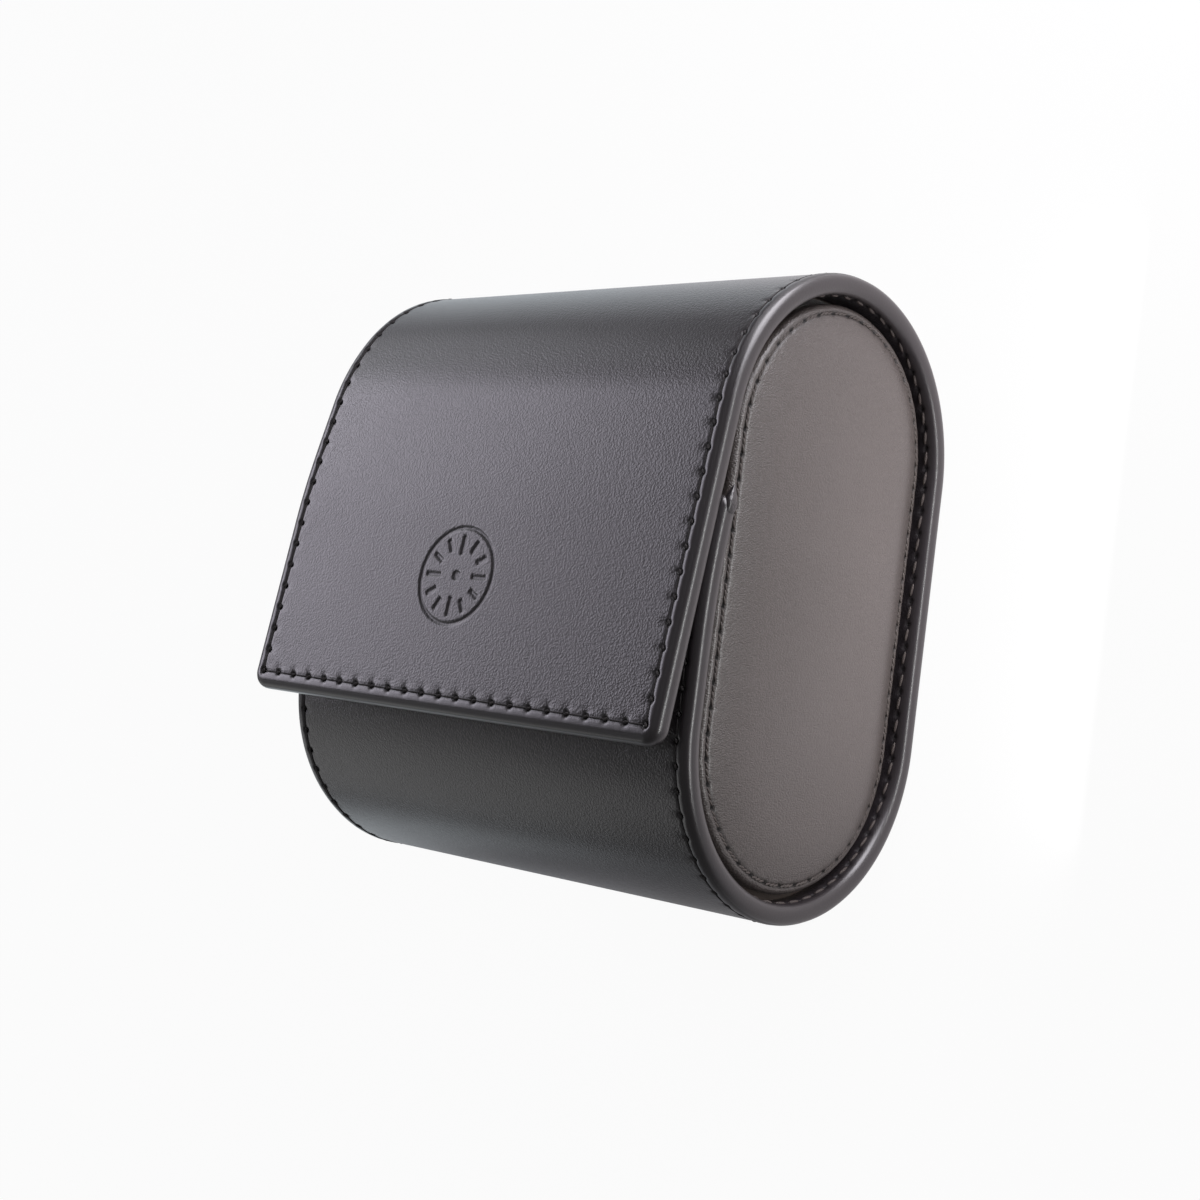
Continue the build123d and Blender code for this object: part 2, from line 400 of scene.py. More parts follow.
@dataclass(frozen=True)
class Palette:
    """Every finish of the case."""

    strip: LeatherFinish = LeatherFinish("case_leather_finish", (0.011, 0.009, 0.0102),
                                         (0.018, 0.015, 0.017), 0.36, 0.10 * MM)
    panel: LeatherFinish = LeatherFinish("panel_leather_finish", (0.042, 0.0350, 0.0320),
                                         (0.055, 0.0460, 0.0430), 0.42, 0.14 * MM, stretch=1.5)
    lining: NapFinish = NapFinish("lining_suede", (0.030, 0.022, 0.018), (0.060, 0.045, 0.037), 0.86,
                                  0.10 * MM, sheen=0.35)
    suede: NapFinish = NapFinish("cushion_suede", (0.085, 0.062, 0.048), (0.150, 0.115, 0.092), 0.88,
                                 0.14 * MM, sheen=0.4)
    dark_thread: NapFinish = NapFinish("dark_thread", (0.006, 0.005, 0.005), (0.018, 0.015, 0.015), 0.86,
                                       0.05 * MM, 5200.0)
    light_thread: NapFinish = NapFinish("bobbin_thread", (0.016, 0.0125, 0.011), (0.046, 0.035, 0.032), 0.65,
                                        0.05 * MM, 5200.0)
    panel_thread: NapFinish = NapFinish("panel_thread", (0.020, 0.016, 0.014), (0.062, 0.050, 0.045), 0.60,
                                        0.05 * MM, 5200.0)
    board: NapFinish = NapFinish("board", (0.15, 0.11, 0.07), (0.22, 0.16, 0.11), 0.8, 0.05 * MM)
    foam: NapFinish = NapFinish("foam", (0.60, 0.57, 0.48), (0.75, 0.71, 0.62), 0.9, 0.15 * MM, 1500.0)
    steel: SteelFinish = SteelFinish("ground_steel", (0.55, 0.55, 0.57))

    def build(self) -> Finishes:
        """Builds every material once, and gives them by field name."""
        groups = {"grain": Grain().build(), "nap": Nap().build()}
        return {key: getattr(self, key).build(groups) for key in self.__dataclass_fields__}


# ---- the strip's line and its seams -------------------------------------------------------
class StripLine:
    """The strip's outer line in the YZ plane, run from the wall's free edge to the flap's.

    Each span is an arc or a straight, stored as (length, radius, start angle of the normal, start
    point or arc centre). A straight has no radius.
    """

    spring_before = 14.0 * MM
    spring_run = 36.0 * MM
    spring_rise = 2.5 * MM
    spring_fade = 1.6

    def __init__(self) -> None:
        """Lays the spans end to end."""
        run = WALL_EDGE_Y - LEAN_START_Y
        lean_radius = (run**2 + LEAN_DROP**2) / (2 * LEAN_DROP)
        lean = math.asin(run / lean_radius)
        up = math.pi / 2
        leaving = math.pi - FLAP_TILT
        last = np.array([ARC_Y + END_RADIUS * math.sin(leaving), END_RADIUS - END_RADIUS * math.cos(leaving)])
        self.spans = [
            (lean_radius * lean, lean_radius, up - lean, np.array([LEAN_START_Y, DEPTH - lean_radius])),
            (ARC_Y + LEAN_START_Y, None, up, np.array([LEAN_START_Y, DEPTH])),
            (END_RADIUS * math.pi, END_RADIUS, up, np.array([-ARC_Y, END_RADIUS])),
            (2 * ARC_Y, None, 3 * up, np.array([-ARC_Y, 0.0])),
            (END_RADIUS * leaving, END_RADIUS, 3 * up, np.array([ARC_Y, END_RADIUS])),
            ((last[0] - FLAP_EDGE_Y) / math.cos(FLAP_TILT), None, 3 * up + leaving, last),
        ]
        ends = np.cumsum([span[0] for span in self.spans])
        self.length = float(ends[-1])
        self.bend_start = float(ends[3])
        self.spring_start = float(ends[4]) - self.spring_before

    def place(self, run: Array, depth: Array) -> tuple[Array, Array, Array]:
        """Finds points of the strip.

        Args:
            run: Distances along the outer line, in metres.
            depth: Depths under the outer surface, in metres.

        Returns:
            The Y and Z of each point, and the angle of its outward normal.
        """
        y, z, angle = (np.zeros_like(run) for _ in range(3))
        start = 0.0
        for index, (length, radius, normal, origin) in enumerate(self.spans):
            last = index == len(self.spans) - 1
            here = (run >= start - 1e-9) & ((run < start + length) | last)
            along = run[here] - start
            if radius is None:
                turned = np.full_like(along, normal)
                y[here] = origin[0] - along * math.sin(normal)
                z[here] = origin[1] + along * math.cos(normal)
            else:
                turned = normal + along / radius
                y[here] = origin[0] + radius * np.cos(turned)
                z[here] = origin[1] + radius * np.sin(turned)
            angle[here] = turned
            start += length
        return y - depth * np.cos(angle), z - depth * np.sin(angle), angle

    def spring(self, x: Array, run: Array) -> Array:
        """How far the flap's left side stands off, because the leather springs back there.

        Args:
            x: Places across the strip.
            run: Places along the strip.

        Returns:
            The lift along the outward normal, in metres.
        """
        past = np.clip((run - self.spring_start) / self.spring_run, 0, 1)
        share = 0.5 - x / (2 * HALF_LENGTH)
        return self.spring_rise * past**2 * (3 - 2 * past) * share**self.spring_fade

    def point(self, run: float, depth: float) -> Vector:
        """One point of the strip's middle plane, as a vector."""
        y, z, _ = self.place(np.array([run]), np.array([depth]))
        return Vector((0.0, float(y[0]), float(z[0])))


@dataclass(frozen=True)
class Dent:
    """A soft dent: how deep it is, and its size and place against a needle hole, in metres."""

    depth: float
    along: float
    across: float
    offset: float = 0.0

    def shape(self, along: Array, across: Array, sharpness: float = 1.0) -> Array:
        """Its strength from 0 to 1 near a needle hole; a sharpness of 1 makes it a plain bell."""
        reach = (along / self.along) ** 2 + ((across - self.offset) / self.across) ** 2
        return np.exp(-(reach**sharpness))


@dataclass(frozen=True)
class Seam:
    """How the strip is sewn and turned at its edges. All lengths are metres.

    Attributes:
        inset: Distance of the outer seam from the long sides.
        end_inset: Distance of the outer seam from a free edge.
        inner_inset: Distance of the inner seam from the edge.
        crease: Distance of the crease that the turned edge is pressed with.
        turn: How far in from the edge the turned edge reaches.
        squareness: How square the turned edge is; 2 is round.
        side_count: Stitches along each side.
        end_count: Stitches across a free edge.
        slant: How far the awl's holes lean.
        hole: The needle hole.
        hole_sharpness: How steep the hole's sides are.
        pucker: The dent behind a hole.
        nip: The dent between a hole and the edge.
        groove: Width and depth of the line the thread pulls in.
        inner_strength: How deep the inner face's dents are against the outer face's.
        bead: Height of the bead between the crease and the seam.
        bead_roundness: How round the bead is; 1 is half a sine wave.
        press: Width and depth of the pressed crease.
        overrun: How far past its first and last hole a row presses the leather.
        band: How far beside a row its dents are looked for.
        end_zone: Distance from the flap's free edge within which the end seam's inset counts.
        edge_fade: Distance from the edge over which the dents fade in.
        shade: How much shade is painted into a hole and the groove.
        crease_shade: How much shade is painted into the crease.
    """

    line: StripLine
    inset: float = 2.5 * MM
    end_inset: float = 2.9 * MM
    inner_inset: float = 2.2 * MM
    crease: float = 0.95 * MM
    turn: float = 1.65 * MM
    squareness: float = 2.5
    side_count: int = 80
    end_count: int = 22
    slant: float = 0.35
    hole: Dent = Dent(0.55 * MM, 0.36 * MM, 0.50 * MM, 0.06 * MM)
    hole_sharpness: float = 1.6
    pucker: Dent = Dent(0.09 * MM, 0.80 * MM, 0.80 * MM, 0.70 * MM)
    nip: Dent = Dent(0.07 * MM, 0.50 * MM, 0.40 * MM, -0.45 * MM)
    groove: tuple[float, float] = (0.20 * MM, 0.13 * MM)
    inner_strength: float = 0.45
    bead: float = 0.10 * MM
    bead_roundness: float = 0.9
    press: tuple[float, float] = (0.11 * MM, 0.07 * MM)
    overrun: float = 0.4 * MM
    band: float = 4.0 * MM
    end_zone: float = 6.0 * MM
    edge_fade: float = 0.5 * MM
    shade: tuple[float, float] = (1.9, 0.45)
    crease_shade: float = 0.4

    @property
    def side_pitch(self) -> float:
        """The stitch length along the sides."""
        return (self.line.length - 2 * self.end_inset) / self.side_count

    @property
    def end_pitch(self) -> float:
        """The stitch length across a free edge."""
        return 2 * (HALF_LENGTH - self.inset) / self.end_count

    def edge_distance(self, x: Array, run: Array) -> Array:
        """Distance from the strip's outline, whose four corners are rounded.

        Args:
            x: Places across the strip.
            run: Places along the strip.

        Returns:
            The distances, never under zero.
        """
        side = HALF_LENGTH - np.abs(x)
        found = np.full_like(x, 1.0)
        for end, radius in ((run, WALL_CORNER), (self.line.length - run, FLAP_CORNER)):
            plain = np.minimum(side, end)
            a, b = np.clip(radius - side, 0, None), np.clip(radius - end, 0, None)
            rounded = radius - np.hypot(a, b)
            found = np.minimum(found, np.where((a > 0) & (b > 0), rounded, plain))
        return np.clip(found, 0, None)

    def turned(self, edge: Array) -> Array:
        """Depth of the rounded, turned edge under the flat face, by distance from the edge."""
        share = np.clip(1 - edge / self.turn, 0, 1)
        return WALL / 2 * (1 - (1 - share**self.squareness) ** (1 / self.squareness))

    def needlework(self, x: Array, run: Array, side: Side) -> tuple[Array, Array]:
        """The dents, bead and crease that sewing leaves in the leather.

        Args:
            x: Places across the strip.
            run: Places along the strip.
            side: The face that is worked.

        Returns:
            How far each place is pressed in, and how much shade is painted into its hole, groove or crease,
            from 0 to 1.
        """
        edge = self.edge_distance(x, run)
        outer = side is Side.OUTER
        press, dark = np.zeros_like(x), np.zeros_like(x)
        from_side = HALF_LENGTH - np.abs(x) - (self.inset if outer else self.inner_inset)
        first, last = self.end_inset, self.line.length - self.end_inset
        rows = [(from_side, run, first, last, self.side_pitch, np.sign(x))]
        for end in (run, self.line.length - run):
            reach = HALF_LENGTH - self.inset
            from_end = end - (self.end_inset if outer else self.inner_inset)
            rows.append((from_end, x, -reach, reach, self.end_pitch, np.ones_like(x)))
        for across, along, low, high, pitch, lean in rows:
            sewn = (along > low - self.overrun) & (along < high + self.overrun) & (np.abs(across) < self.band)
            phase = (along - low) / pitch
            near = (phase - np.round(phase)) * pitch
            leaning = self.slant * lean
            hole = self.hole.shape(near + leaning * across, across - leaning * near, self.hole_sharpness)
            groove = np.exp(-((across / self.groove[0]) ** 2))
            strength = 1.0 if outer else self.inner_strength
            dent = self.hole.depth * hole + self.groove[1] * groove
            for soft in (self.pucker, self.nip):
                dent += soft.depth * soft.shape(near, across)
            # Holes and the thread's groove are darkened as painted shade.
            shade = np.clip(self.shade[0] * hole + self.shade[1] * groove, 0, 1)
            press += np.where(sewn, strength * dent, 0.0)
            dark = np.maximum(dark, np.where(sewn, strength * shade, 0))
        if outer:
            seam_at = np.where(run > self.line.length - self.end_zone, self.end_inset, self.inset)
            bead = np.clip((edge - self.crease) / (seam_at - self.crease), 0, 1)
            press -= self.bead * np.sin(np.pi * bead) ** self.bead_roundness
            # The pressed crease is darkened as painted shade.
            crease = np.exp(-(((edge - self.crease) / self.press[0]) ** 2))
            press += self.press[1] * crease
            dark = np.maximum(dark, self.crease_shade * crease)
        return press * np.clip(edge / self.edge_fade, 0, 1), np.clip(dark, 0, 1)


@dataclass(frozen=True)
class DialStamp:
    """A blind stamp pressed in the flap: a plain dial ring with twelve hour marks.

    Attributes:
        x: Its centre across the strip.
        from_edge: Its centre's distance from the flap's free edge.
        radius: Radius of the ring's middle line.
        line: Width of the ring's line.
        marks: Inner and outer radius of the hour marks.
        mark_width: Width of an hour mark.
        hub: Radius of the dot in the middle.
        quarter_extra: How much longer every third mark is.
        margin: How far the finer mesh reaches past the ring.
        shade: How much shade is painted into the pressed lines, as a share of a needle hole's painted shade.
        depth: How deep the stamp is pressed.
        soft: How far its edges are rounded over.
        spacing: How fine the mesh is under it.
        clearance: Room beside the finer mesh that holds no other line, in spacings.
    """

    x: float = -2.6 * MM
    from_edge: float = 23.0 * MM
    radius: float = 8.2 * MM
    line: float = 0.55 * MM
    marks: tuple[float, float] = (4.6 * MM, 6.9 * MM)
    mark_width: float = 0.75 * MM
    hub: float = 0.8 * MM
    quarter_extra: float = 1.0 * MM
    margin: float = 0.8 * MM
    shade: float = 0.12
    depth: float = 0.21 * MM
    soft: float = 0.16 * MM
    spacing: float = 0.22 * MM
    clearance: float = 0.6

    @property
    def reach(self) -> float:
        """How far the finer mesh reaches from the centre."""
        return self.radius + self.margin

    def pressed(self, x: Array, run: Array, length: float) -> Array:
        """How strongly each place is stamped.

        Args:
            x: Places across the strip.
            run: Places along the strip.
            length: The strip's length.

        Returns:
            The strength at each place, from 0 to 1.
        """
        dx, dy = x - self.x, run - (length - self.from_edge)
        away = np.hypot(dx, dy)
        hour = math.pi / 6
        bearing = np.arctan2(dx, dy)
        off = away * np.abs(np.sin(bearing - np.round(bearing / hour) * hour))
        quarter = np.round(bearing / hour) % 3 == 0
        low = np.where(quarter, self.marks[0] - self.quarter_extra, self.marks[0])
        gaps = [
            np.abs(away - self.radius) - self.line / 2,
            np.maximum(off - self.mark_width / 2, np.maximum(low - away, away - self.marks[1])),
            away - self.hub,
        ]
        outside = np.minimum.reduce(gaps)
        return np.clip(0.5 - outside / self.soft, 0, 1)


# ---- mesh helpers -------------------------------------------------------------------------
def ranks(values: list[float]) -> Array:
    """Numbers equal values by size: 0 for the lowest, 1 for the next, and so on."""
    return np.unique(np.round(values, 6), return_inverse=True)[1]


def double_grid(columns: Array, rows: Array) -> tuple[Mesh, Array, Array, Array]:
    """Makes two layers of grid joined round their outline, to be shaped by the caller.

    Args:
        columns: The grid lines' places across.
        rows: Their places along.

    Returns:
        The mesh, and for each vertex its column, its row and whether it is in the second layer.
    """
    bm = bmesh.new()
    bmesh.ops.create_grid(bm, x_segments=len(columns) - 1, y_segments=len(rows) - 1, size=1.0)
    grown = bmesh.ops.extrude_face_region(bm, geom=bm.faces[:])["geom"]
    second = {v for v in grown if isinstance(v, bmesh.types.BMVert)}
    bm.verts.ensure_lookup_table()
    column = ranks([v.co.x for v in bm.verts])
    row = ranks([v.co.y for v in bm.verts])
    return bm, column, row, np.array([v in second for v in bm.verts])


def place_all(bm: Mesh, x: Array, y: Array, z: Array) -> None:
    """Moves the mesh's vertices to the given places."""
    for vert, *place in zip(bm.verts, x, y, z):
        vert.co = place


def sweep_stadium(bm: Mesh, geometry: list, middle: Vector, arc_y: float,
                  bar_steps: int, arc_steps: int) -> None:
    """Sweeps a section clockwise round a stadium, from the left end of its upper bar.

    Args:
        bm: The mesh that holds the section.
        geometry: The section's vertices and edges.
        middle: The stadium's middle.
        arc_y: Half the length of its bars.
        bar_steps: Steps along each bar.
        arc_steps: Steps round each end.
    """
    bar = Vector((0.0, 2 * arc_y / bar_steps, 0.0))
    still = Vector()
    for shift, turn, slide, steps in ((0.0, 0.0, bar, bar_steps), (arc_y, -math.pi, still, arc_steps),
                                      (0.0, 0.0, -bar, bar_steps), (-arc_y, -math.pi, still, arc_steps)):
        centre = middle + Vector((0.0, shift, 0.0))
        geometry = bmesh.ops.spin(bm, geom=geometry, cent=centre, axis=(1, 0, 0), dvec=slide, angle=turn,
                                  steps=steps)["geom_last"]
    bmesh.ops.remove_doubles(bm, verts=bm.verts[:], dist=WELD)


def lay_stitch(bm: Mesh, at: Vector, along: Vector, normal: Vector, size: Triple) -> None:
    """Adds one stitch, a long ball of thread.

    Args:
        bm: The mesh to add to.
        at: Its middle.
        along: Its direction, which needn't be a unit vector.
        normal: The normal of the leather under it.
        size: Half its width, length and height.
    """
    along = along.normalized()
    turn = Matrix((normal.cross(along).normalized(), along, normal)).transposed().to_4x4()
    bmesh.ops.create_uvsphere(bm, u_segments=STITCH_SIDES, v_segments=STITCH_RINGS, radius=1.0,
                              matrix=Matrix.Translation(at) @ turn @ Matrix.Diagonal((*size, 1.0)))


def finish_mesh(bm: Mesh, name: str, material: Material) -> Piece:
    """Turns a closed mesh into a smooth-shaded object in the scene, its faces outwards.

    The operator guesses which way is out from the face farthest from the middle, and guesses wrong
    on thin curled sheets, so the sign of the volume decides.

    Args:
        bm: The mesh, which is freed.
        name: The piece's name.
        material: Its finish.

    Returns:
        The new piece.
    """
    bmesh.ops.recalc_face_normals(bm, faces=bm.faces[:])
    if bm.calc_volume(signed=True) < 0.0:
        bmesh.ops.reverse_faces(bm, faces=bm.faces[:])
    for face in bm.faces:
        face.smooth = True
    mesh = bpy.data.meshes.new(name)
    bm.to_mesh(mesh)
    bm.free()
    mesh.materials.append(material)
    piece = bpy.data.objects.new(name, mesh)
    bpy.context.scene.collection.objects.link(piece)
    LOG.info("%s: %d faces", name, len(mesh.polygons))
    return piece


# ---- the strip ----------------------------------------------------------------------------
@dataclass(frozen=True)
class Section:
    """One length of the strip.

    Attributes:
        name: The piece's name.
        start: Where it starts along the strip.
        end: Where it ends.
        bodies: The body it rides on, or the two bodies it lies between.
        stands_for: The CAD nodes it replaces.
        close_weave: Whether its middle is as finely divided as its edges.
        stamped: Whether it carries the blind stamp.
    """

    name: str
    start: float
    end: float
    bodies: tuple[str, ...]
    stands_for: tuple[str, ...]
    close_weave: bool = False
    stamped: bool = False


@dataclass(frozen=True)
class Tuck:
    """Sizes of the tucked corner fold at the wall's free edge, in metres."""

    inset: float = 0.55 * MM
    width: float = 1.9 * MM
    start: float = -1.9 * MM
    length: float = 5.0 * MM
    thickness: float = 2.3 * MM
    squareness: float = 0.62
    tip: float = 0.12
    taper: float = 1.6
    fullness: float = 0.8
    sides: int = 24
    rings: int = 16


@dataclass(frozen=True)
class MagnetPair:
    """Sizes and places of the two plate magnets inside the flap, in metres."""

    size: Triple = (18.0 * MM, 8.0 * MM, 1.4 * MM)
    from_middle: float = 28.0 * MM
    from_edge: float = 31.85 * MM
    depth: float = 1.7 * MM
    rounding: float = 0.1 * MM


@dataclass(frozen=True)
class ThreadLay:
    """How the thread lies on one face of the strip. Lengths are metres.

    Attributes:
        part: The end of the pieces' names.
        finish: The thread's finish.
        depth: Depth of its middle under the strip's outer surface.
        radius: Half its thickness.
        reach: Half a stitch's visible length, as a share of the pitch.
        side_slant: How far the stitches lean along the sides.
        end_slant: How far they lean across a free edge.
        knot: Half sizes of the knot in a needle hole, where one shows.
    """

    part: str
    finish: str
    depth: float
    radius: float
    reach: float
    side_slant: float
    end_slant: float
    knot: Triple | None = None


@dataclass
class Strip:
    """The sewn strip: wall, lower round end, back, upper round end and flap, in sections."""

    line: StripLine
    seam: Seam
    finishes: Finishes
    stamp: DialStamp = DialStamp()
    tuck: Tuck = Tuck()
    magnets: MagnetPair = MagnetPair()
    step: float = 0.325 * MM
    fine_reach: float = 41.2 * MM
    coarse_columns: int = 16
    turn_rings: int = 7
    edge_band: float = 14.0 * MM
    lining_half: float = 39.0 * MM
    lining_proud: float = 0.12 * MM
    lining_sunk: float = 0.36 * MM
    lining_step: float = 0.8 * MM
    lining_columns: int = 26
    sharp: float = 1.0
    edge_step: float = 0.28 * MM
    taut_from: float = 1.8 * MM
    taut_to: float = 3.2 * MM
    most_taut: float = 0.85
    knot_slant: float = 0.55
    outer_lay: ThreadLay = ThreadLay("seam", "dark_thread", 0.08 * MM, 0.17 * MM, 0.46, 0.06, 0.0,
                                     (0.27 * MM, 0.52 * MM, 0.24 * MM))
    inner_lay: ThreadLay = ThreadLay("inner_seam", "light_thread", WALL - 0.02 * MM, 0.30 * MM, 0.31,
                                     0.16, 0.16)

    def sections(self) -> list[Section]:
        """The strip's sections, from the wall's free edge to the flap's.

        Returns:
            The sections in order.
        """
        bend = END_RADIUS * BEND_STEP
        marks = [self.line.bend_start + bend * k for k in range(5)]
        chain = ["case", "lower_bend", "middle_bend", "upper_bend", "flap"]
        length = self.line.length
        found = [
            Section("front_wall_edge", 0.0, self.edge_band, ("case",), ("case_leather",),
                    close_weave=True),
            Section("case_shell", self.edge_band, marks[0], ("case",), ("case_leather", "case_lining")),
        ]
        for k in range(4):
            nodes = tuple(f"{chain[k + 1]}_{layer}" for layer in ("leather", "core", "lining"))
            found.append(Section(f"upper_end_{k + 1}", marks[k], marks[k + 1], (chain[k], chain[k + 1]),
                                 nodes))
        found.append(Section("flap_face", marks[4], length - self.edge_band, ("flap",),
                             ("flap_leather", "flap_core", "flap_lining"), stamped=True))
        found.append(Section("flap_edge", length - self.edge_band, length, ("flap",),
                             ("flap_leather", "flap_core"), close_weave=True))
        return found

    def edge_marks(self) -> list[float]:
        """Distances from an edge that the mesh has lines at, out to where the sewing ends."""
        quarter = [self.seam.turn * (1 - math.cos(k * math.pi / 2 / self.turn_rings))
                   for k in range(self.turn_rings + 1)]
        steps = round((HALF_LENGTH - self.fine_reach - self.seam.turn) / self.edge_step)
        rest = np.linspace(self.seam.turn, HALF_LENGTH - self.fine_reach, steps + 1)[1:]
        return quarter + list(rest)

    def refined(self, places: Array, centre: float) -> Array:
        """Swaps the mesh lines under the stamp for finer ones.

        Args:
            places: Places of the lines, in order.
            centre: The stamp's centre on that scale.

        Returns:
            The places, in order.
        """
        low, high = centre - self.stamp.reach, centre + self.stamp.reach
        count = round((high - low) / self.stamp.spacing)
        gap = self.stamp.clearance * self.stamp.spacing
        kept = places[(places < low - gap) | (places > high + gap)]
        return np.sort(np.concatenate([kept, np.linspace(low, high, count + 1)]))

    def columns(self, section: Section) -> Array:
        """Places across the strip that the mesh has lines at.

        Args:
            section: The length of strip.

        Returns:
            The places, from left to right.
        """
        edge = HALF_LENGTH - np.array(self.edge_marks())
        count = round(2 * self.fine_reach / self.step) if section.close_weave else self.coarse_columns
        middle = np.linspace(-self.fine_reach, self.fine_reach, count + 1)[1:-1]
        if section.stamped:
            middle = self.refined(middle, self.stamp.x)
        return np.sort(np.concatenate([-edge, middle, edge]))

    def rows(self, section: Section) -> Array:
        """Places along the strip that the mesh has lines at.

        Args:
            section: The length of strip.

        Returns:
            The places, in order.
        """
        marks = self.edge_marks()
        free_start, free_end = section.start == 0.0, section.end == self.line.length
        low = marks[-1] if free_start else section.start
        high = self.line.length - marks[-1] if free_end else section.end
        rows = list(np.linspace(low, high, max(2, round((high - low) / self.step)) + 1))
        if free_start:
            rows = marks[:-1] + rows
        if free_end:
            rows = rows + [self.line.length - m for m in reversed(marks[:-1])]
        if section.stamped:
            return self.refined(np.array(rows), self.line.length - self.stamp.from_edge)
        return np.array(rows)

    def half_width(self, run: Array) -> Array:
        """The strip's half width, which draws in round the free corners."""
        found = np.full_like(run, HALF_LENGTH)
        for end, radius in ((run, WALL_CORNER), (self.line.length - run, FLAP_CORNER)):
            drop = radius - np.sqrt(np.clip(radius**2 - np.clip(radius - end, 0, radius) ** 2, 0, None))
            found = np.minimum(found, HALF_LENGTH - drop)
        return found

    def build_leather(self, section: Section) -> Piece:
        """Forms one section of the turned and sewn leather, closed all round.

        Args:
            section: The length of strip.

        Returns:
            The finished piece.
        """
        columns, rows = self.columns(section), self.rows(section)
        bm, column, row, inner = double_grid(columns, rows)
        run = rows[row]
        x = columns[column] * self.half_width(run) / HALF_LENGTH
        drop = self.seam.turned(self.seam.edge_distance(x, run))
        press_out, painted_shade_out = self.seam.needlework(x, run, Side.OUTER)
        press_in, painted_shade_in = self.seam.needlework(x, run, Side.INNER)
        if section.stamped:
            stamped = self.stamp.pressed(x, run, self.line.length)
            press_out = press_out + self.stamp.depth * stamped
            # The stamp's pressed lines get painted shade as well.
            painted_shade_out = np.maximum(painted_shade_out, self.stamp.shade * stamped)
        depth = np.where(inner, WALL - drop - press_in, drop + press_out) - self.line.spring(x, run)
        # Painted shade of needle holes, thread grooves, the crease and the stamp, stored in the hollow
        # attribute.
        dark = np.where(inner, painted_shade_in, painted_shade_out)
        y, z, _ = self.line.place(run, depth)
        inside = self.taut_to - self.seam.edge_distance(x, run)
        taut = np.clip(inside / (self.taut_to - self.taut_from), 0, self.most_taut)
        painted_shade_layer = bm.verts.layers.float.new("painted_hollow_shade")
        taut_layer = bm.verts.layers.float.new("taut")
        cut_rows = {0} if section.start > 0 else set()
        if section.end < self.line.length:
            cut_rows.add(len(rows) - 1)
        place_all(bm, x, y, z)
        for vert, mark, pull in zip(bm.verts, dark, taut):
            vert[painted_shade_layer] = mark
            vert[taut_layer] = pull
        for face in bm.faces:
            on = {row[v.index] for v in face.verts}
            if len(on) == 1 and on & cut_rows:
                for edge in face.edges:
                    edge.smooth = False
        bmesh.ops.remove_doubles(bm, verts=bm.verts[:], dist=0.5 * WELD)
        return finish_mesh(bm, section.name, self.finishes["strip"])

    def build_lining(self, section: Section) -> Piece:
        """Forms one section of the lining that is laid on the strip's inner face.

        Args:
            section: The length of strip.

        Returns:
            The finished piece.
        """
        margin = HALF_LENGTH - self.lining_half
        start = margin if section.start == 0.0 else section.start
        end = self.line.length - margin if section.end == self.line.length else section.end
        rows = np.linspace(start, end, max(2, round((end - start) / self.lining_step)) + 1)
        columns = np.linspace(-self.lining_half, self.lining_half, self.lining_columns + 1)
        bm, column, row, above = double_grid(columns, rows)
        depth = np.where(above, WALL + self.lining_proud, WALL - self.lining_sunk)
        run, x = rows[row], columns[column]
        y, z, _ = self.line.place(run, depth - self.line.spring(x, run))
        place_all(bm, x, y, z)
        for edge in bm.edges:
            if len(edge.link_faces) == 2 and edge.calc_face_angle(0.0) > self.sharp:
                edge.smooth = False
        return finish_mesh(bm, f"{section.name}_lining", self.finishes["lining"])

    def needle_spots(self, section: Section, side: Side) -> list[tuple[float, float, int, bool]]:
        """Lists the places where stitches and needle holes come in one section.

        Args:
            section: The length of strip.
            side: The face they lie on.

        Returns:
            For each place its X, its run, its side (-1 left, 1 right, 0 across a free edge) and
            whether it is a needle hole.
        """
        seam, length = self.seam, self.line.length
        outer = side is Side.OUTER
        across = HALF_LENGTH - (seam.inset if outer else seam.inner_inset)
        spots = []
        for k in range(2 * seam.side_count + 1):
            run = seam.end_inset + k / 2 * seam.side_pitch
            if section.start <= run < section.end:
                spots += [(s * across, run, s, k % 2 == 0) for s in (-1, 1)]
        if section.close_weave:
            inset = seam.end_inset if outer else seam.inner_inset
            run = inset if section.start == 0.0 else length - inset
            reach = HALF_LENGTH - seam.inset
            spots += [(-reach + k / 2 * seam.end_pitch, run, 0, k % 2 == 0)
                      for k in range(1, 2 * seam.end_count)]
        return spots

    def stitches(self, section: Section, side: Side) -> Piece:
        """Lays one section's stitches on one face of the strip.

        Args:
            section: The length of strip.
            side: The face they lie on.

        Returns:
            The thread piece.
        """
        lay = self.outer_lay if side is Side.OUTER else self.inner_lay
        across = Vector((1.0, 0.0, 0.0))
        bm = bmesh.new()
        for x, run, s, knot in self.needle_spots(section, side):
            if knot and lay.knot is None:
                continue
            lift = self.line.spring(np.array([x]), np.array([run]))
            y, z, angle = (float(a[0]) for a in self.line.place(np.array([run]), lay.depth - lift))
            normal = Vector((0.0, math.cos(angle), math.sin(angle)))
            tangent = Vector((0.0, -math.sin(angle), math.cos(angle)))
            along, aside = (tangent, across) if s else (across, tangent)
            pitch = self.seam.side_pitch if s else self.seam.end_pitch
            if knot:
                slant, size = self.knot_slant * (s or -1), lay.knot
            else:
                slant = lay.side_slant * s if s else lay.end_slant
                size = (lay.radius, lay.reach * pitch, lay.radius)
            lay_stitch(bm, Vector((x, y, z)), along + slant * aside, normal, size)
        return finish_mesh(bm, f"{section.name}_{lay.part}", self.finishes[lay.finish])

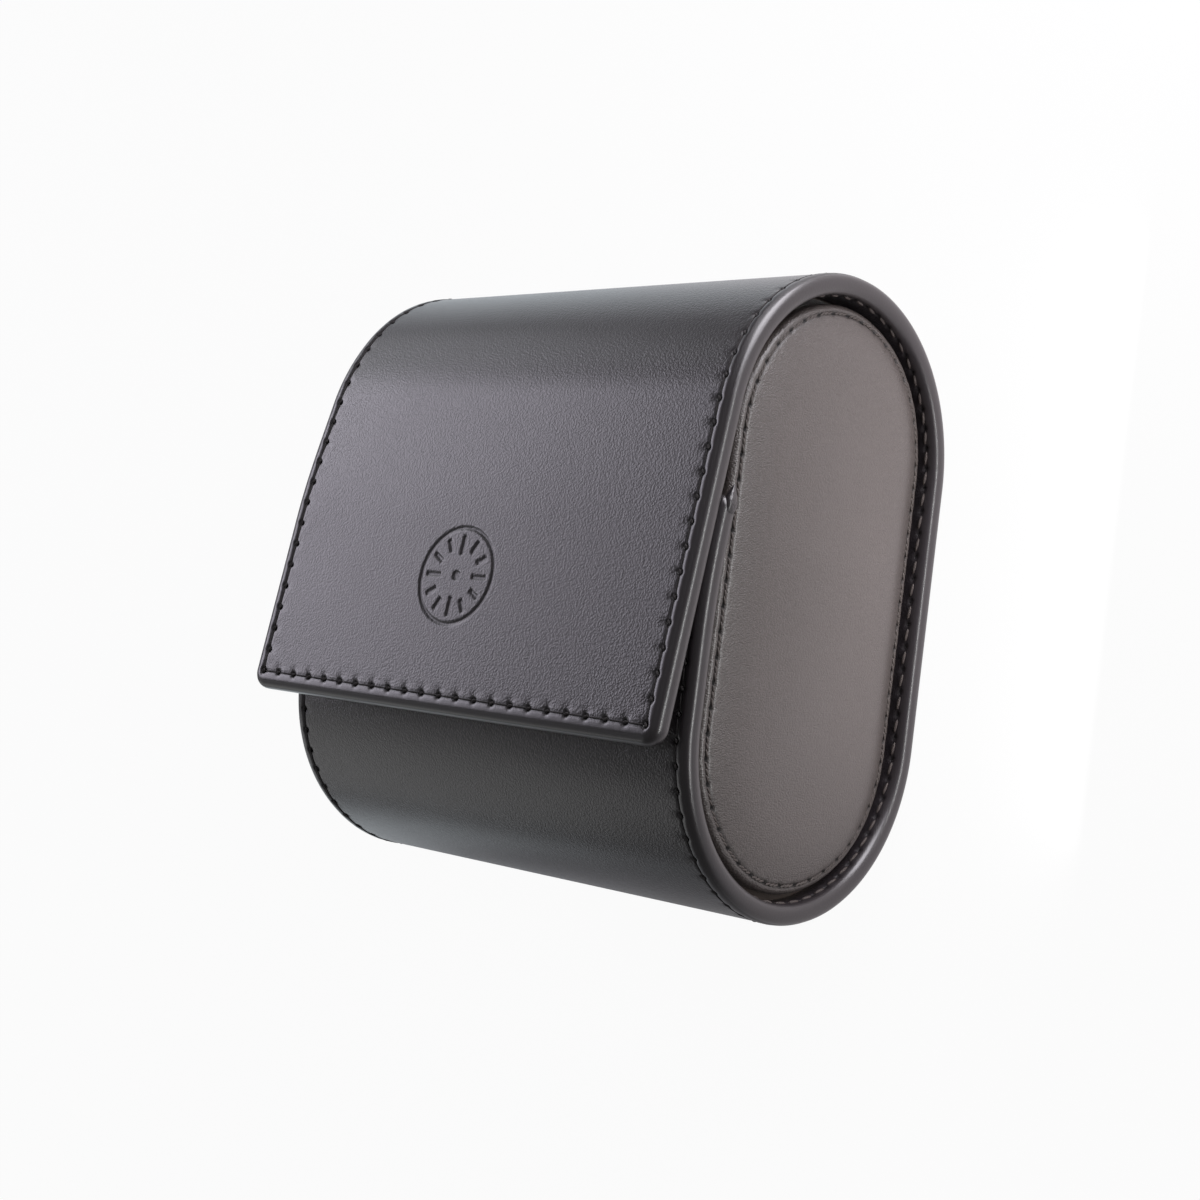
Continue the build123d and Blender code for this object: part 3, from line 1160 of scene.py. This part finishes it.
    def build_tuck(self, side: Panel) -> Piece:
        """Folds the little tuck of leather that closes a corner of the wall's free edge.

        Args:
            side: The corner it closes.

        Returns:
            The tuck.
        """
        tuck = self.tuck
        bm = bmesh.new()
        bmesh.ops.create_uvsphere(bm, u_segments=tuck.sides, v_segments=tuck.rings, radius=1.0)
        ball = np.array([v.co[:] for v in bm.verts])
        boxy = np.sign(ball) * np.abs(ball) ** tuck.squareness
        share = (ball[:, 2] + 1) / 2
        taper = tuck.tip + (1 - tuck.tip) * np.clip(share * tuck.taper, 0, 1) ** tuck.fullness
        across = HALF_LENGTH - tuck.inset + boxy[:, 0] * taper * tuck.width / 2
        depth = WALL / 2 - boxy[:, 1] * taper * tuck.thickness / 2
        run = tuck.start + share * tuck.length
        y, z, angle = self.line.place(np.clip(run, 0, None), depth)
        beyond = np.clip(run, None, 0)
        y, z = y - beyond * np.sin(angle), z + beyond * np.cos(angle)
        place_all(bm, side.value * across, y, z)
        return finish_mesh(bm, f"wall_tuck_{side.word}", self.finishes["strip"])

    def build_magnets(self) -> Piece:
        """Sets the two magnets between the flap's leather and lining, and lifts them with it.

        Returns:
            The magnets, as one piece.
        """
        plate = self.magnets
        run = np.array([self.line.length - plate.from_edge])
        bm = bmesh.new()
        for side in Panel:
            x = side.value * plate.from_middle
            lift = self.line.spring(np.array([x]), run)
            y, z, angle = (float(a[0]) for a in self.line.place(run, plate.depth - lift))
            turn = Matrix.Rotation(angle - math.pi / 2, 4, "X")
            place = Matrix.Translation((x, y, z)) @ turn @ Matrix.Diagonal((*plate.size, 1.0))
            bmesh.ops.create_cube(bm, size=1.0, matrix=place)
        bmesh.ops.bevel(bm, geom=bm.edges[:], offset=plate.rounding, offset_type="OFFSET", segments=2,
                        profile=0.5, affect="EDGES", material=-1)
        return finish_mesh(bm, "flap_magnet_plates", self.finishes["steel"])

    def attach(self, piece: Piece, section: Section) -> None:
        """Makes a piece ride on its section's body; a piece between two bodies only has its transform baked
        and rides on neither.

        Args:
            piece: The finished piece.
            section: The section it belongs to.
        """
        if len(section.bodies) == 1:
            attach(piece, section.bodies[0])
            return
        start = self.line.point(section.start, WALL)
        end = self.line.point(section.end - HAIR, WALL)
        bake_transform(piece)

    def build(self) -> None:
        """Builds every section's leather, lining and stitches."""
        for section in self.sections():
            leather = self.build_leather(section)
            lining = self.build_lining(section)
            seams = [self.stitches(section, side) for side in Side]
            for piece in (leather, lining, *seams):
                self.attach(piece, section)
            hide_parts(*section.stands_for)
        for side in Panel:
            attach(self.build_tuck(side), "case")
        magnets = self.build_magnets()
        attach(magnets, "flap")
        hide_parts("flap_magnets")


# ---- end panels ---------------------------------------------------------------------------
@dataclass
class EndPanel:
    """A padded end panel: leather drawn over foam and sewn down near its edge."""

    which: Panel
    finishes: Finishes
    half: float = 24.8 * MM
    centre_z: float = 29.4 * MM
    arc_y: float = 23.1 * MM
    back_x: float = 41.82 * MM
    brim_x: float = 44.6 * MM
    crown: float = 0.95 * MM
    crown_run: float = 8.6 * MM
    dome: float = 1.6 * MM
    edge_round: float = 1.35 * MM
    seam_inset: float = 1.5 * MM
    step: float = 0.36 * MM
    flat_rings: int = 6
    crown_rings: int = 12
    crown_end: float = 1.2 * MM
    close_start: float = 1.0 * MM
    close_gap: float = 0.2 * MM
    crown_start: float = 0.1 * MM
    edge_steps: int = 7
    side_steps: int = 4
    face_depth: float = 0.6 * MM
    stitch: float = 3.9 * MM
    thread: float = 0.24 * MM
    thread_reach: float = 0.19
    thread_sunk: float = 0.04 * MM
    twist: float = 0.34
    twist_gap: float = 0.25
    outer_twist: float = 0.86
    hole: Dent = Dent(0.30 * MM, 0.36 * MM, 0.34 * MM)
    groove: tuple[float, float] = (0.34 * MM, 0.20 * MM)
    pucker: Dent = Dent(0.07 * MM, 0.90 * MM, 0.60 * MM, 0.60 * MM)
    shade: tuple[float, float] = (1.1, 0.75)
    fill: float = 0.9

    @property
    def seam_length(self) -> float:
        """The seam's length round the panel."""
        return 4 * self.arc_y + 2 * math.pi * (self.half - self.seam_inset)

    @property
    def pitch(self) -> float:
        """The stitch length that divides the seam evenly."""
        return self.seam_length / round(self.seam_length / self.stitch)

    def profile(self) -> list[tuple[float, float]]:
        """The panel's section from its middle out to its edge and down its side.

        Returns:
            Points as (distance from the middle line, X), before the sewing presses them in.
        """
        seam, foot = self.seam_inset, self.crown_run + self.seam_inset
        insets = list(np.linspace(self.half, foot, self.flat_rings))
        insets += list(np.linspace(foot, seam + self.crown_end, self.crown_rings)[1:])
        insets += list(np.arange(seam + self.close_start, self.edge_round, -self.close_gap))
        points = []
        for inset in insets:
            share = min(max((inset - seam - self.crown_start) / self.crown_run, 0.0), 1.0)
            points.append((self.half - inset, self.brim_x + self.crown * (1 - (1 - share) ** 2)))
        for k in range(1, self.edge_steps + 1):
            turn = k * math.pi / (2 * self.edge_steps)
            points.append((self.half - self.edge_round * (1 - math.sin(turn)),
                           self.brim_x - self.edge_round * (1 - math.cos(turn))))
        brim_foot = self.brim_x - self.edge_round
        points += [(self.half, brim_foot + k * (self.back_x - brim_foot) / self.side_steps)
                   for k in range(1, self.side_steps + 1)]
        points.append((0.0, self.back_x))
        return points

    def around(self, y: Array, z: Array) -> tuple[Array, Array]:
        """Where points lie on the panel's stadium.

        Args:
            y: Y of the points.
            z: Z of the points.

        Returns:
            How far along the seam each point is, and its distance from the panel's edge.
        """
        radius = self.half - self.seam_inset
        dz = z - self.centre_z
        beyond = np.clip(np.abs(y) - self.arc_y, 0, None)
        turn = np.arctan2(beyond, np.abs(dz) + 1e-12)
        quarter = np.clip(np.abs(y), 0, self.arc_y) + radius * turn
        whole = 2 * self.arc_y + math.pi * radius
        along = np.where(dz >= 0, np.sign(y) * quarter, np.sign(y) * (whole - quarter))
        return along, self.half - np.hypot(beyond, dz)

    def domed(self, y: Array, z: Array) -> Array:
        """How far the padding domes the face, over the panel's whole length and height."""
        long = np.clip(1 - (y / (self.arc_y + self.half - self.seam_inset)) ** 2, 0, 1)
        high = np.clip(1 - ((z - self.centre_z) / (self.half - self.seam_inset)) ** 2, 0, 1)
        return self.dome * long * high

    def sewing(self, y: Array, z: Array) -> tuple[Array, Array]:
        """How the seam presses the panel's face in, and how much shade is painted into its holes and groove.

        Args:
            y: Y of the points.
            z: Z of the points.

        Returns:
            The depth pressed in, and the painted shade from 0 to 1.
        """
        along, inset = self.around(y, z)
        phase = along / self.pitch
        near = (phase - np.round(phase)) * self.pitch
        across = inset - self.seam_inset
        hole = self.hole.shape(near, across)
        groove = np.exp(-((across / self.groove[0]) ** 2))
        pucker = self.pucker.shape(near, np.abs(across))
        press = self.hole.depth * hole + self.groove[1] * groove + self.pucker.depth * pucker
        return press, np.clip(self.shade[0] * hole + self.shade[1] * groove, 0, 1)

    def build_cover(self) -> Piece:
        """Sweeps the cover's section round the stadium and sews it.

        Returns:
            The panel's cover.
        """
        sign = self.which.value
        bm = bmesh.new()
        line = [bm.verts.new((sign * x, -self.arc_y, self.centre_z + r)) for r, x in self.profile()]
        section = line + [bm.edges.new(pair) for pair in zip(line, line[1:])]
        sweep_stadium(bm, section, Vector((0.0, 0.0, self.centre_z)), self.arc_y,
                      round(2 * self.arc_y / self.step), round(math.pi * self.half / self.step))
        bmesh.ops.dissolve_degenerate(bm, edges=bm.edges[:], dist=HAIR)
        y, z = (np.array([v.co[k] for v in bm.verts]) for k in (1, 2))
        face = np.array([abs(v.co.x) > self.brim_x - self.face_depth for v in bm.verts])
        press, dark = self.sewing(y, z)
        rise = self.domed(y, z)
        # The seam's holes and groove are darkened as painted shade, through the hollow attribute.
        painted_hollow_shade = bm.verts.layers.float.new("painted_hollow_shade")
        for vert, shown, depth, mark in zip(bm.verts, face, press - rise, dark):
            if shown:
                vert.co.x -= sign * depth
                vert[painted_hollow_shade] = mark
        return finish_mesh(bm, f"{self.which.word}_panel_cover", self.finishes["panel"])

    def on_seam(self, run: float) -> tuple[Vector, Vector, Vector]:
        """Finds a place on the seam.

        Args:
            run: Distance along the seam from the left end of its upper bar.

        Returns:
            The place, the direction out towards the edge and the direction along the seam.
        """
        radius, straight = self.half - self.seam_inset, 2 * self.arc_y
        arc = math.pi * radius
        run %= 2 * (straight + arc)
        near, far = (self.arc_y, 0.0) if run < straight + arc else (-self.arc_y, math.pi)
        rest = run % (straight + arc)
        turn = far + max(rest - straight, 0.0) / radius
        centre_y = near if rest > straight else near * (2 * rest / straight - 1)
        out = Vector((0.0, math.sin(turn), math.cos(turn)))
        along = Vector((0.0, math.cos(turn), -math.sin(turn)))
        x = self.which.value * (self.brim_x - self.thread_sunk)
        return Vector((x, centre_y, self.centre_z)) + radius * out, out, along

    def build_thread(self) -> Piece:
        """Lays the seam's stitches round the panel, each of three twists of thread.

        Returns:
            The thread piece.
        """
        normal = Vector((self.which.value, 0.0, 0.0))
        bm = bmesh.new()
        for k in range(round(self.seam_length / self.pitch)):
            for twist in (-1, 0, 1):
                at, out, along = self.on_seam(self.arc_y + (k + 0.5 + self.twist_gap * twist) * self.pitch)
                thick = self.thread * (1.0 if twist == 0 else self.outer_twist)
                lay_stitch(bm, at, along + self.twist * self.which.value * out, normal,
                           (thick, self.thread_reach * self.pitch, thick))
        return finish_mesh(bm, f"{self.which.word}_panel_seam", self.finishes["panel_thread"])

    def build(self) -> None:
        """Builds the cover and its seam, which ride on the case."""
        cover = self.build_cover()
        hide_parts(*(f"{self.which.word}_panel_{layer}" for layer in ("leather", "foam", "board")))
        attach(cover, "case")
        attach(self.build_thread(), "case")


# ---- cushion ------------------------------------------------------------------------------
@dataclass
class Cushion:
    """The removable suede cushion that the watch is strapped round."""

    finishes: Finishes
    half_length: float = 35.0 * MM
    radius: float = 19.0 * MM
    arc_y: float = 14.0 * MM
    centre_y: float = -10.0 * MM
    centre_z: float = 22.6 * MM
    slack: float = 0.9 * MM
    cap: float = 1.1 * MM
    tab_half: float = 7.0 * MM
    tab_reach: float = 18.0 * MM
    tab_layer: tuple[float, float] = (0.05 * MM, 0.95 * MM)
    tab_angles: Triple = (-10.0, -20.0, 60.0)
    tab_trim: float = 0.2 * MM
    tab_steps: int = 8
    piping_radius: float = 0.75 * MM
    piping_inset: float = 0.85 * MM
    piping_proud: float = 0.30 * MM
    piping_steps: tuple[int, int] = (12, 40)
    piping_sides: int = 8
    bevel: float = 1.6 * MM
    bulge: float = 0.2 * MM
    voxel: float = 1.6 * MM
    arc_parts: int = 12
    cloth_steps: int = 20
    cloth_quality: int = 5
    pressure: float = 4.0
    fill: float = 0.9

    def stadium(self, bm: Mesh, x: float, radius: float) -> list[bmesh.types.BMVert]:
        """Adds one ring of the cushion's outline.

        Args:
            bm: The mesh to add to.
            x: The ring's place along the cushion.
            radius: The radius of its round ends.

        Returns:
            The ring's vertices in order.
        """
        ring = []
        for centre, start in ((self.arc_y, -90.0), (-self.arc_y, 90.0)):
            for k in range(self.arc_parts + 1):
                turn = math.radians(start + 180.0 / self.arc_parts * k)
                ring.append(bm.verts.new((x, self.centre_y + centre + radius * math.cos(turn),
                                          self.centre_z + radius * math.sin(turn))))
        return ring

    def build_body(self) -> Piece:
        """Builds the stuffed body and lets cloth settle its suede.

        Returns:
            The cushion's body.
        """
        bm = bmesh.new()
        inner = self.radius - self.slack
        ends = self.half_length - self.slack
        rings = [self.stadium(bm, x, r) for x, r in (
            (-ends, inner - self.bevel), (-ends + self.bevel, inner), (0.0, inner + self.bulge),
            (ends - self.bevel, inner), (ends, inner - self.bevel))]
        for low, high in zip(rings, rings[1:]):
            pairs = [pair for ring in (low, high) for pair in zip(ring, ring[1:] + ring[:1])]
            bmesh.ops.bridge_loops(bm, edges=[bm.edges.get(pair) or bm.edges.new(pair) for pair in pairs])
        for ring in (rings[0], rings[-1]):
            bm.faces.new(ring)
        piece = finish_mesh(bm, "cushion_body", self.finishes["suede"])
        self.remesh(piece)
        self.inflate(piece)
        return piece

    def remesh(self, piece: Piece) -> None:
        """Gives the body even faces for the cloth."""
        modifier = piece.modifiers.new("even", "REMESH")
        modifier.mode = "VOXEL"
        modifier.voxel_size = self.voxel
        self.apply(piece, modifier.name)

    def inflate(self, piece: Piece) -> None:
        """Presses the suede outwards from within, and caps how far it may go.

        Args:
            piece: The remeshed body.
        """
        before = np.zeros(len(piece.data.vertices) * 3)
        piece.data.vertices.foreach_get("co", before)
        cloth = piece.modifiers.new("suede", "CLOTH")
        cloth.settings.use_pressure = True
        cloth.settings.uniform_pressure_force = self.pressure
        cloth.settings.effector_weights.gravity = 0.0
        cloth.settings.quality = self.cloth_quality
        scene = bpy.context.scene
        for step in range(1, self.cloth_steps + 1):
            scene.frame_set(step)
        self.apply(piece, cloth.name)
        scene.frame_set(1)
        after = np.zeros_like(before)
        piece.data.vertices.foreach_get("co", after)
        moved = (after - before).reshape(-1, 3)
        length = np.linalg.norm(moved, axis=1, keepdims=True)
        moved *= np.minimum(1.0, self.cap / np.maximum(length, 1e-9))
        piece.data.vertices.foreach_set("co", (before.reshape(-1, 3) + moved).ravel())
        piece.data.update()

    @staticmethod
    def apply(piece: Piece, modifier: str) -> None:
        """Applies one modifier of a piece."""
        bpy.context.view_layer.objects.active = piece
        with bpy.context.temp_override(object=piece, active_object=piece, selected_objects=[piece]):
            bpy.ops.object.modifier_apply(modifier=modifier)

    def seat(self, bm: Mesh, x: float, body: Piece) -> None:
        """Moves the piping onto the rim of the settled body.

        Args:
            bm: The piping, rolled round the plain outline.
            x: The end that it goes round.
            body: The body that it is sewn to.
        """
        mesh = body.data
        surface = BVHTree.FromPolygons([v.co for v in mesh.vertices], [p.vertices for p in mesh.polygons])
        for vert in bm.verts:
            middle = min(max(vert.co.y, self.centre_y - self.arc_y), self.centre_y + self.arc_y)
            outward = Vector((0.0, vert.co.y - middle, vert.co.z - self.centre_z)).normalized()
            line = Vector((x, middle, self.centre_z)) + outward * (self.radius - self.piping_inset)
            place, normal, _, _ = surface.find_nearest(line)
            vert.co += place + normal * self.piping_proud - line

    def build_piping(self, x: float, body: Piece) -> Piece:
        """Rolls the piping that joins an end disc to the wrap.

        Args:
            x: The end that it goes round.
            body: The body that it is sewn to.

        Returns:
            The piping.
        """
        bm = bmesh.new()
        bmesh.ops.create_circle(bm, cap_ends=False, segments=self.piping_sides, radius=self.piping_radius)
        start = Vector((x, self.centre_y - self.arc_y, self.centre_z + self.radius - self.piping_inset))
        bmesh.ops.transform(bm, matrix=Matrix.Translation(start) @ Matrix.Rotation(math.pi / 2, 4, "X"),
                            verts=bm.verts[:])
        sweep_stadium(bm, bm.verts[:] + bm.edges[:], Vector((x, self.centre_y, self.centre_z)), self.arc_y,
                      *self.piping_steps)
        self.seat(bm, x, body)
        name = f"cushion_piping_{'right' if x > 0 else 'left'}"
        return finish_mesh(bm, name, self.finishes["suede"])

    def build_tab(self) -> Piece:
        """Cuts the pull tab and lays it over the cushion's shoulder.

        Returns:
            The tab.
        """
        centre = Vector((0.0, self.centre_y + self.arc_y, self.centre_z))
        bm = bmesh.new()
        under, over = self.tab_layer
        outline = [bm.verts.new((s * self.tab_half, centre.y, centre.z + self.radius + d))
                   for s, d in ((-1, under), (1, under), (1, over), (-1, over))]
        start_angle, bend, leaving = (math.radians(angle) for angle in self.tab_angles)
        start = Matrix.Rotation(start_angle, 4, "X")
        bm.faces.new(outline)
        bmesh.ops.rotate(bm, cent=centre, matrix=start.to_3x3(), verts=bm.verts[:])
        spun = bmesh.ops.spin(bm, geom=bm.faces[:] + bm.edges[:] + bm.verts[:], cent=centre, axis=(1, 0, 0),
                              angle=bend, steps=self.tab_steps)["geom_last"]
        straight = (self.tab_reach - self.tab_trim) / self.tab_steps
        slide = Vector((0.0, math.sin(leaving), -math.cos(leaving))) * straight
        bmesh.ops.spin(bm, geom=spun, cent=centre, axis=(1, 0, 0), dvec=slide, angle=0.0,
                       steps=self.tab_steps)
        bmesh.ops.remove_doubles(bm, verts=bm.verts[:], dist=WELD)
        return finish_mesh(bm, "cushion_tab", self.finishes["strip"])

    def build(self) -> None:
        """Builds the cushion's pieces, which slide out together."""
        body = self.build_body()
        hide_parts("cushion_foam", "cushion_wrap", "cushion_right_end", "cushion_left_end")
        tab = self.build_tab()
        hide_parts("cushion_pull_tab")
        pipings = [self.build_piping(x, body) for x in (self.half_length, -self.half_length)]
        for piece in (body, tab, *pipings):
            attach(piece, "cushion")


# ---- the set ------------------------------------------------------------------------------
@dataclass(frozen=True)
class Softbox:
    """A rectangular soft light aimed at the case."""

    name: str
    at: Triple
    size: tuple[float, float]
    power: float
    aim: Triple = (0.0, 0.0, 0.03)
    tint: Triple = (1.0, 1.0, 1.0)
    gleams: bool = True

    def build(self) -> None:
        """Adds the light to the scene."""
        light = bpy.data.lights.new(self.name, "AREA")
        light.shape = "RECTANGLE"
        light.size, light.size_y = self.size
        light.energy = self.power
        light.color = self.tint
        lamp = bpy.data.objects.new(self.name, light)
        lamp.location = self.at
        lamp.visible_camera = False
        lamp.visible_glossy = self.gleams
        towards = Vector(self.aim) - Vector(self.at)
        lamp.rotation_euler = towards.to_track_quat("-Z", "Y").to_euler()
        bpy.context.scene.collection.objects.link(lamp)


@dataclass
class Studio:
    """The pale floor, the soft light and the camera."""

    camera_at: Triple = (0.23385, -0.01925, 0.28202)
    camera_right: Triple = (0.7276, 0.1249, -0.6745)
    camera_up: Triple = (-0.0592, 0.9911, 0.1196)
    lens: float = 58.395
    sensor: float = 36.0
    clip: tuple[float, float] = (0.01, 50.0)
    floor_half: float = 6.0
    floor_glow: float = 0.95
    paper: float = 0.60
    # Painted reflection: floor_gleam and the gleam_* fields set a glow on the floor that only mirror rays
    # see, brighter towards +Y, beside the case at +X and behind it at -X, fading with distance; cool and warm
    # tint it along X.
    floor_gleam: float = 0.52
    gleam_slope: float = 4.7
    gleam_range: tuple[float, float] = (0.10, 0.95)
    gleam_beside: tuple[float, float] = (0.06, 6.0)
    gleam_beyond: float = 4.5
    gleam_behind: tuple[float, float] = (0.065, 16.0)
    gleam_fade: tuple[float, float] = (1.35, 2.5)
    tone_turn: float = 9.0
    cool: tuple[float, float, float, float] = (0.88, 0.95, 1.0, 1.0)
    warm: tuple[float, float, float, float] = (1.0, 0.93, 0.95, 1.0)
    room: float = 0.12
    room_gleam: float = 0.13
    lights: tuple[Softbox, ...] = (
        Softbox("key", (-0.74, 0.23, 0.495), (0.54, 0.46), 3.2, tint=(0.92, 0.875, 1.0)),
        Softbox("wing", (-0.77, 0.59, 0.27), (0.38, 0.40), 0.70, tint=(0.93, 0.94, 1.0)),
        Softbox("wall_fill", (-0.70, -0.46, 0.32), (0.55, 0.55), 0.70),
        Softbox("far_end", (0.20, 0.50, 0.13), (0.44, 0.26), 0.9, tint=(0.97, 0.96, 1.0)),
        Softbox("panel_card", (0.13, 0.18, 0.045), (0.20, 0.20), 0.85, (0.045, 0.03, 0.03),
                (0.97, 0.94, 1.0)),
        Softbox("low_card", (0.080, 0.015, 0.010), (0.10, 0.016), 0.032, (0.047, 0.015, 0.009),
                (1.0, 0.96, 0.98), gleams=False),
        Softbox("edge_strip", (0.62, 0.0, 0.11), (0.50, 0.055), 1.8),
    )

    def build_floor(self) -> None:
        """Lays the floor, which the camera sees as white except for shadow, and reflections as a painted glow
        that varies across it.
        """
        bm = bmesh.new()
        bmesh.ops.create_grid(bm, x_segments=2, y_segments=2, size=self.floor_half)
        mesh = bpy.data.meshes.new("floor")
        bm.to_mesh(mesh)
        bm.free()
        material, sheet, spot = new_material("floor_paper")
        path = sheet.add("ShaderNodeLightPath").outputs
        spot_x, spot_y, _ = sheet.add("ShaderNodeSeparateXYZ", {0: spot}).outputs
        level = sheet.math("ADD", sheet.math("MULTIPLY", spot_y, self.gleam_slope), self.floor_gleam)
        reach, slope = self.gleam_beside
        beside = sheet.math("MINIMUM", sheet.past(spot_x, 0.0, slope), reach * slope)
        beyond = sheet.past(spot_x, reach, self.gleam_beyond)
        start, slope = self.gleam_behind
        behind = sheet.past(sheet.math("MULTIPLY", spot_x, -1.0), start, slope)
        level = sheet.math("ADD", sheet.math("ADD", level, beside), behind)
        level = sheet.math("SUBTRACT", level, beyond)
        lowest, highest = self.gleam_range
        level = sheet.math("MINIMUM", sheet.math("MAXIMUM", level, lowest), highest)
        away = sheet.add("ShaderNodeVectorMath", {0: spot}, operation="LENGTH").outputs["Value"]
        full, fade = self.gleam_fade
        near = sheet.math("SUBTRACT", full, sheet.math("MULTIPLY", away, fade), clamp=True)
        # Mirror rays see this painted glow in place of the lit paper; the camera sees white.
        mirrored = sheet.math("MAXIMUM", path["Is Glossy Ray"], path["Is Transmission Ray"])
        shown = sheet.math("MULTIPLY", sheet.math("MULTIPLY", mirrored, near), level)
        paper = sheet.add("ShaderNodeBsdfDiffuse", {"Color": (self.paper,) * 3 + (1.0,)})
        # Painted reflection tint, cool towards -X and warm towards +X; camera rays get plain white.
        warmer = sheet.math("ADD", sheet.math("MULTIPLY", spot_x, self.tone_turn), 0.5, clamp=True)
        tone = sheet.mix(path["Is Camera Ray"], sheet.mix(warmer, self.cool, self.warm), (1.0,) * 4)
        glow = sheet.add("ShaderNodeEmission", {"Color": tone, "Strength": 1.0})
        share = sheet.math("MAXIMUM", sheet.math("MULTIPLY", path["Is Camera Ray"], self.floor_glow), shown)
        sheet.end("ShaderNodeMixShader", {0: share, 1: paper.outputs[0], 2: glow.outputs[0]})
        mesh.materials.append(material)
        floor = bpy.data.objects.new("floor", mesh)
        bpy.context.scene.collection.objects.link(floor)

    def build_world(self) -> None:
        """Fills the room with an even pale light."""
        world = bpy.data.worlds.new("room")
        world.use_nodes = True
        sheet = NodeSheet(world.node_tree)
        path = sheet.add("ShaderNodeLightPath").outputs
        mirrored = sheet.math("MAXIMUM", path["Is Glossy Ray"], path["Is Transmission Ray"])
        seen = sheet.math("MAXIMUM", path["Is Camera Ray"], sheet.math("MULTIPLY", mirrored, self.room_gleam))
        strength = sheet.math("MAXIMUM", seen, self.room)
        sheet.end("ShaderNodeBackground", {"Color": (1.0,) * 4, "Strength": strength}, "World")
        bpy.context.scene.world = world

    def build_camera(self) -> None:
        """Sets the camera."""
        right, up = Vector(self.camera_right).normalized(), Vector(self.camera_up)
        up = (up - right * up.dot(right)).normalized()
        back = right.cross(up)
        data = bpy.data.cameras.new("camera")
        data.lens, data.sensor_width = self.lens, self.sensor
        data.clip_start, data.clip_end = self.clip
        camera = bpy.data.objects.new("camera", data)
        turn = Matrix((right, up, back)).transposed().to_4x4()
        camera.matrix_world = Matrix.Translation(self.camera_at) @ turn
        bpy.context.scene.collection.objects.link(camera)
        bpy.context.scene.camera = camera

    def build(self) -> None:
        """Builds the whole set."""
        self.build_floor()
        self.build_world()
        for light in self.lights:
            light.build()
        self.build_camera()
        bpy.context.scene.view_settings.view_transform = "Standard"


def dress_frame(finishes: Finishes) -> None:
    """Gives the CAD nodes that stay their finishes.

    Args:
        finishes: The built materials, by name.
    """
    kept = {
        "right_panel_lining": "lining", "left_panel_lining": "lining", "case_core": "board",
        "wall_keepers": "steel",
    }
    for node, finish in kept.items():
        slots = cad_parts[node].data.materials
        slots.clear()
        slots.append(finishes[finish])


def main() -> None:
    """Dresses the case, then sets its stage."""
    logging.basicConfig(level=logging.INFO, format="%(name)s %(message)s")
    finishes = Palette().build()
    line = StripLine()
    Strip(line, Seam(line), finishes).build()
    for which in Panel:
        EndPanel(which, finishes).build()
    Cushion(finishes).build()
    dress_frame(finishes)
    Studio().build()


if __name__ == "__main__":
    main()
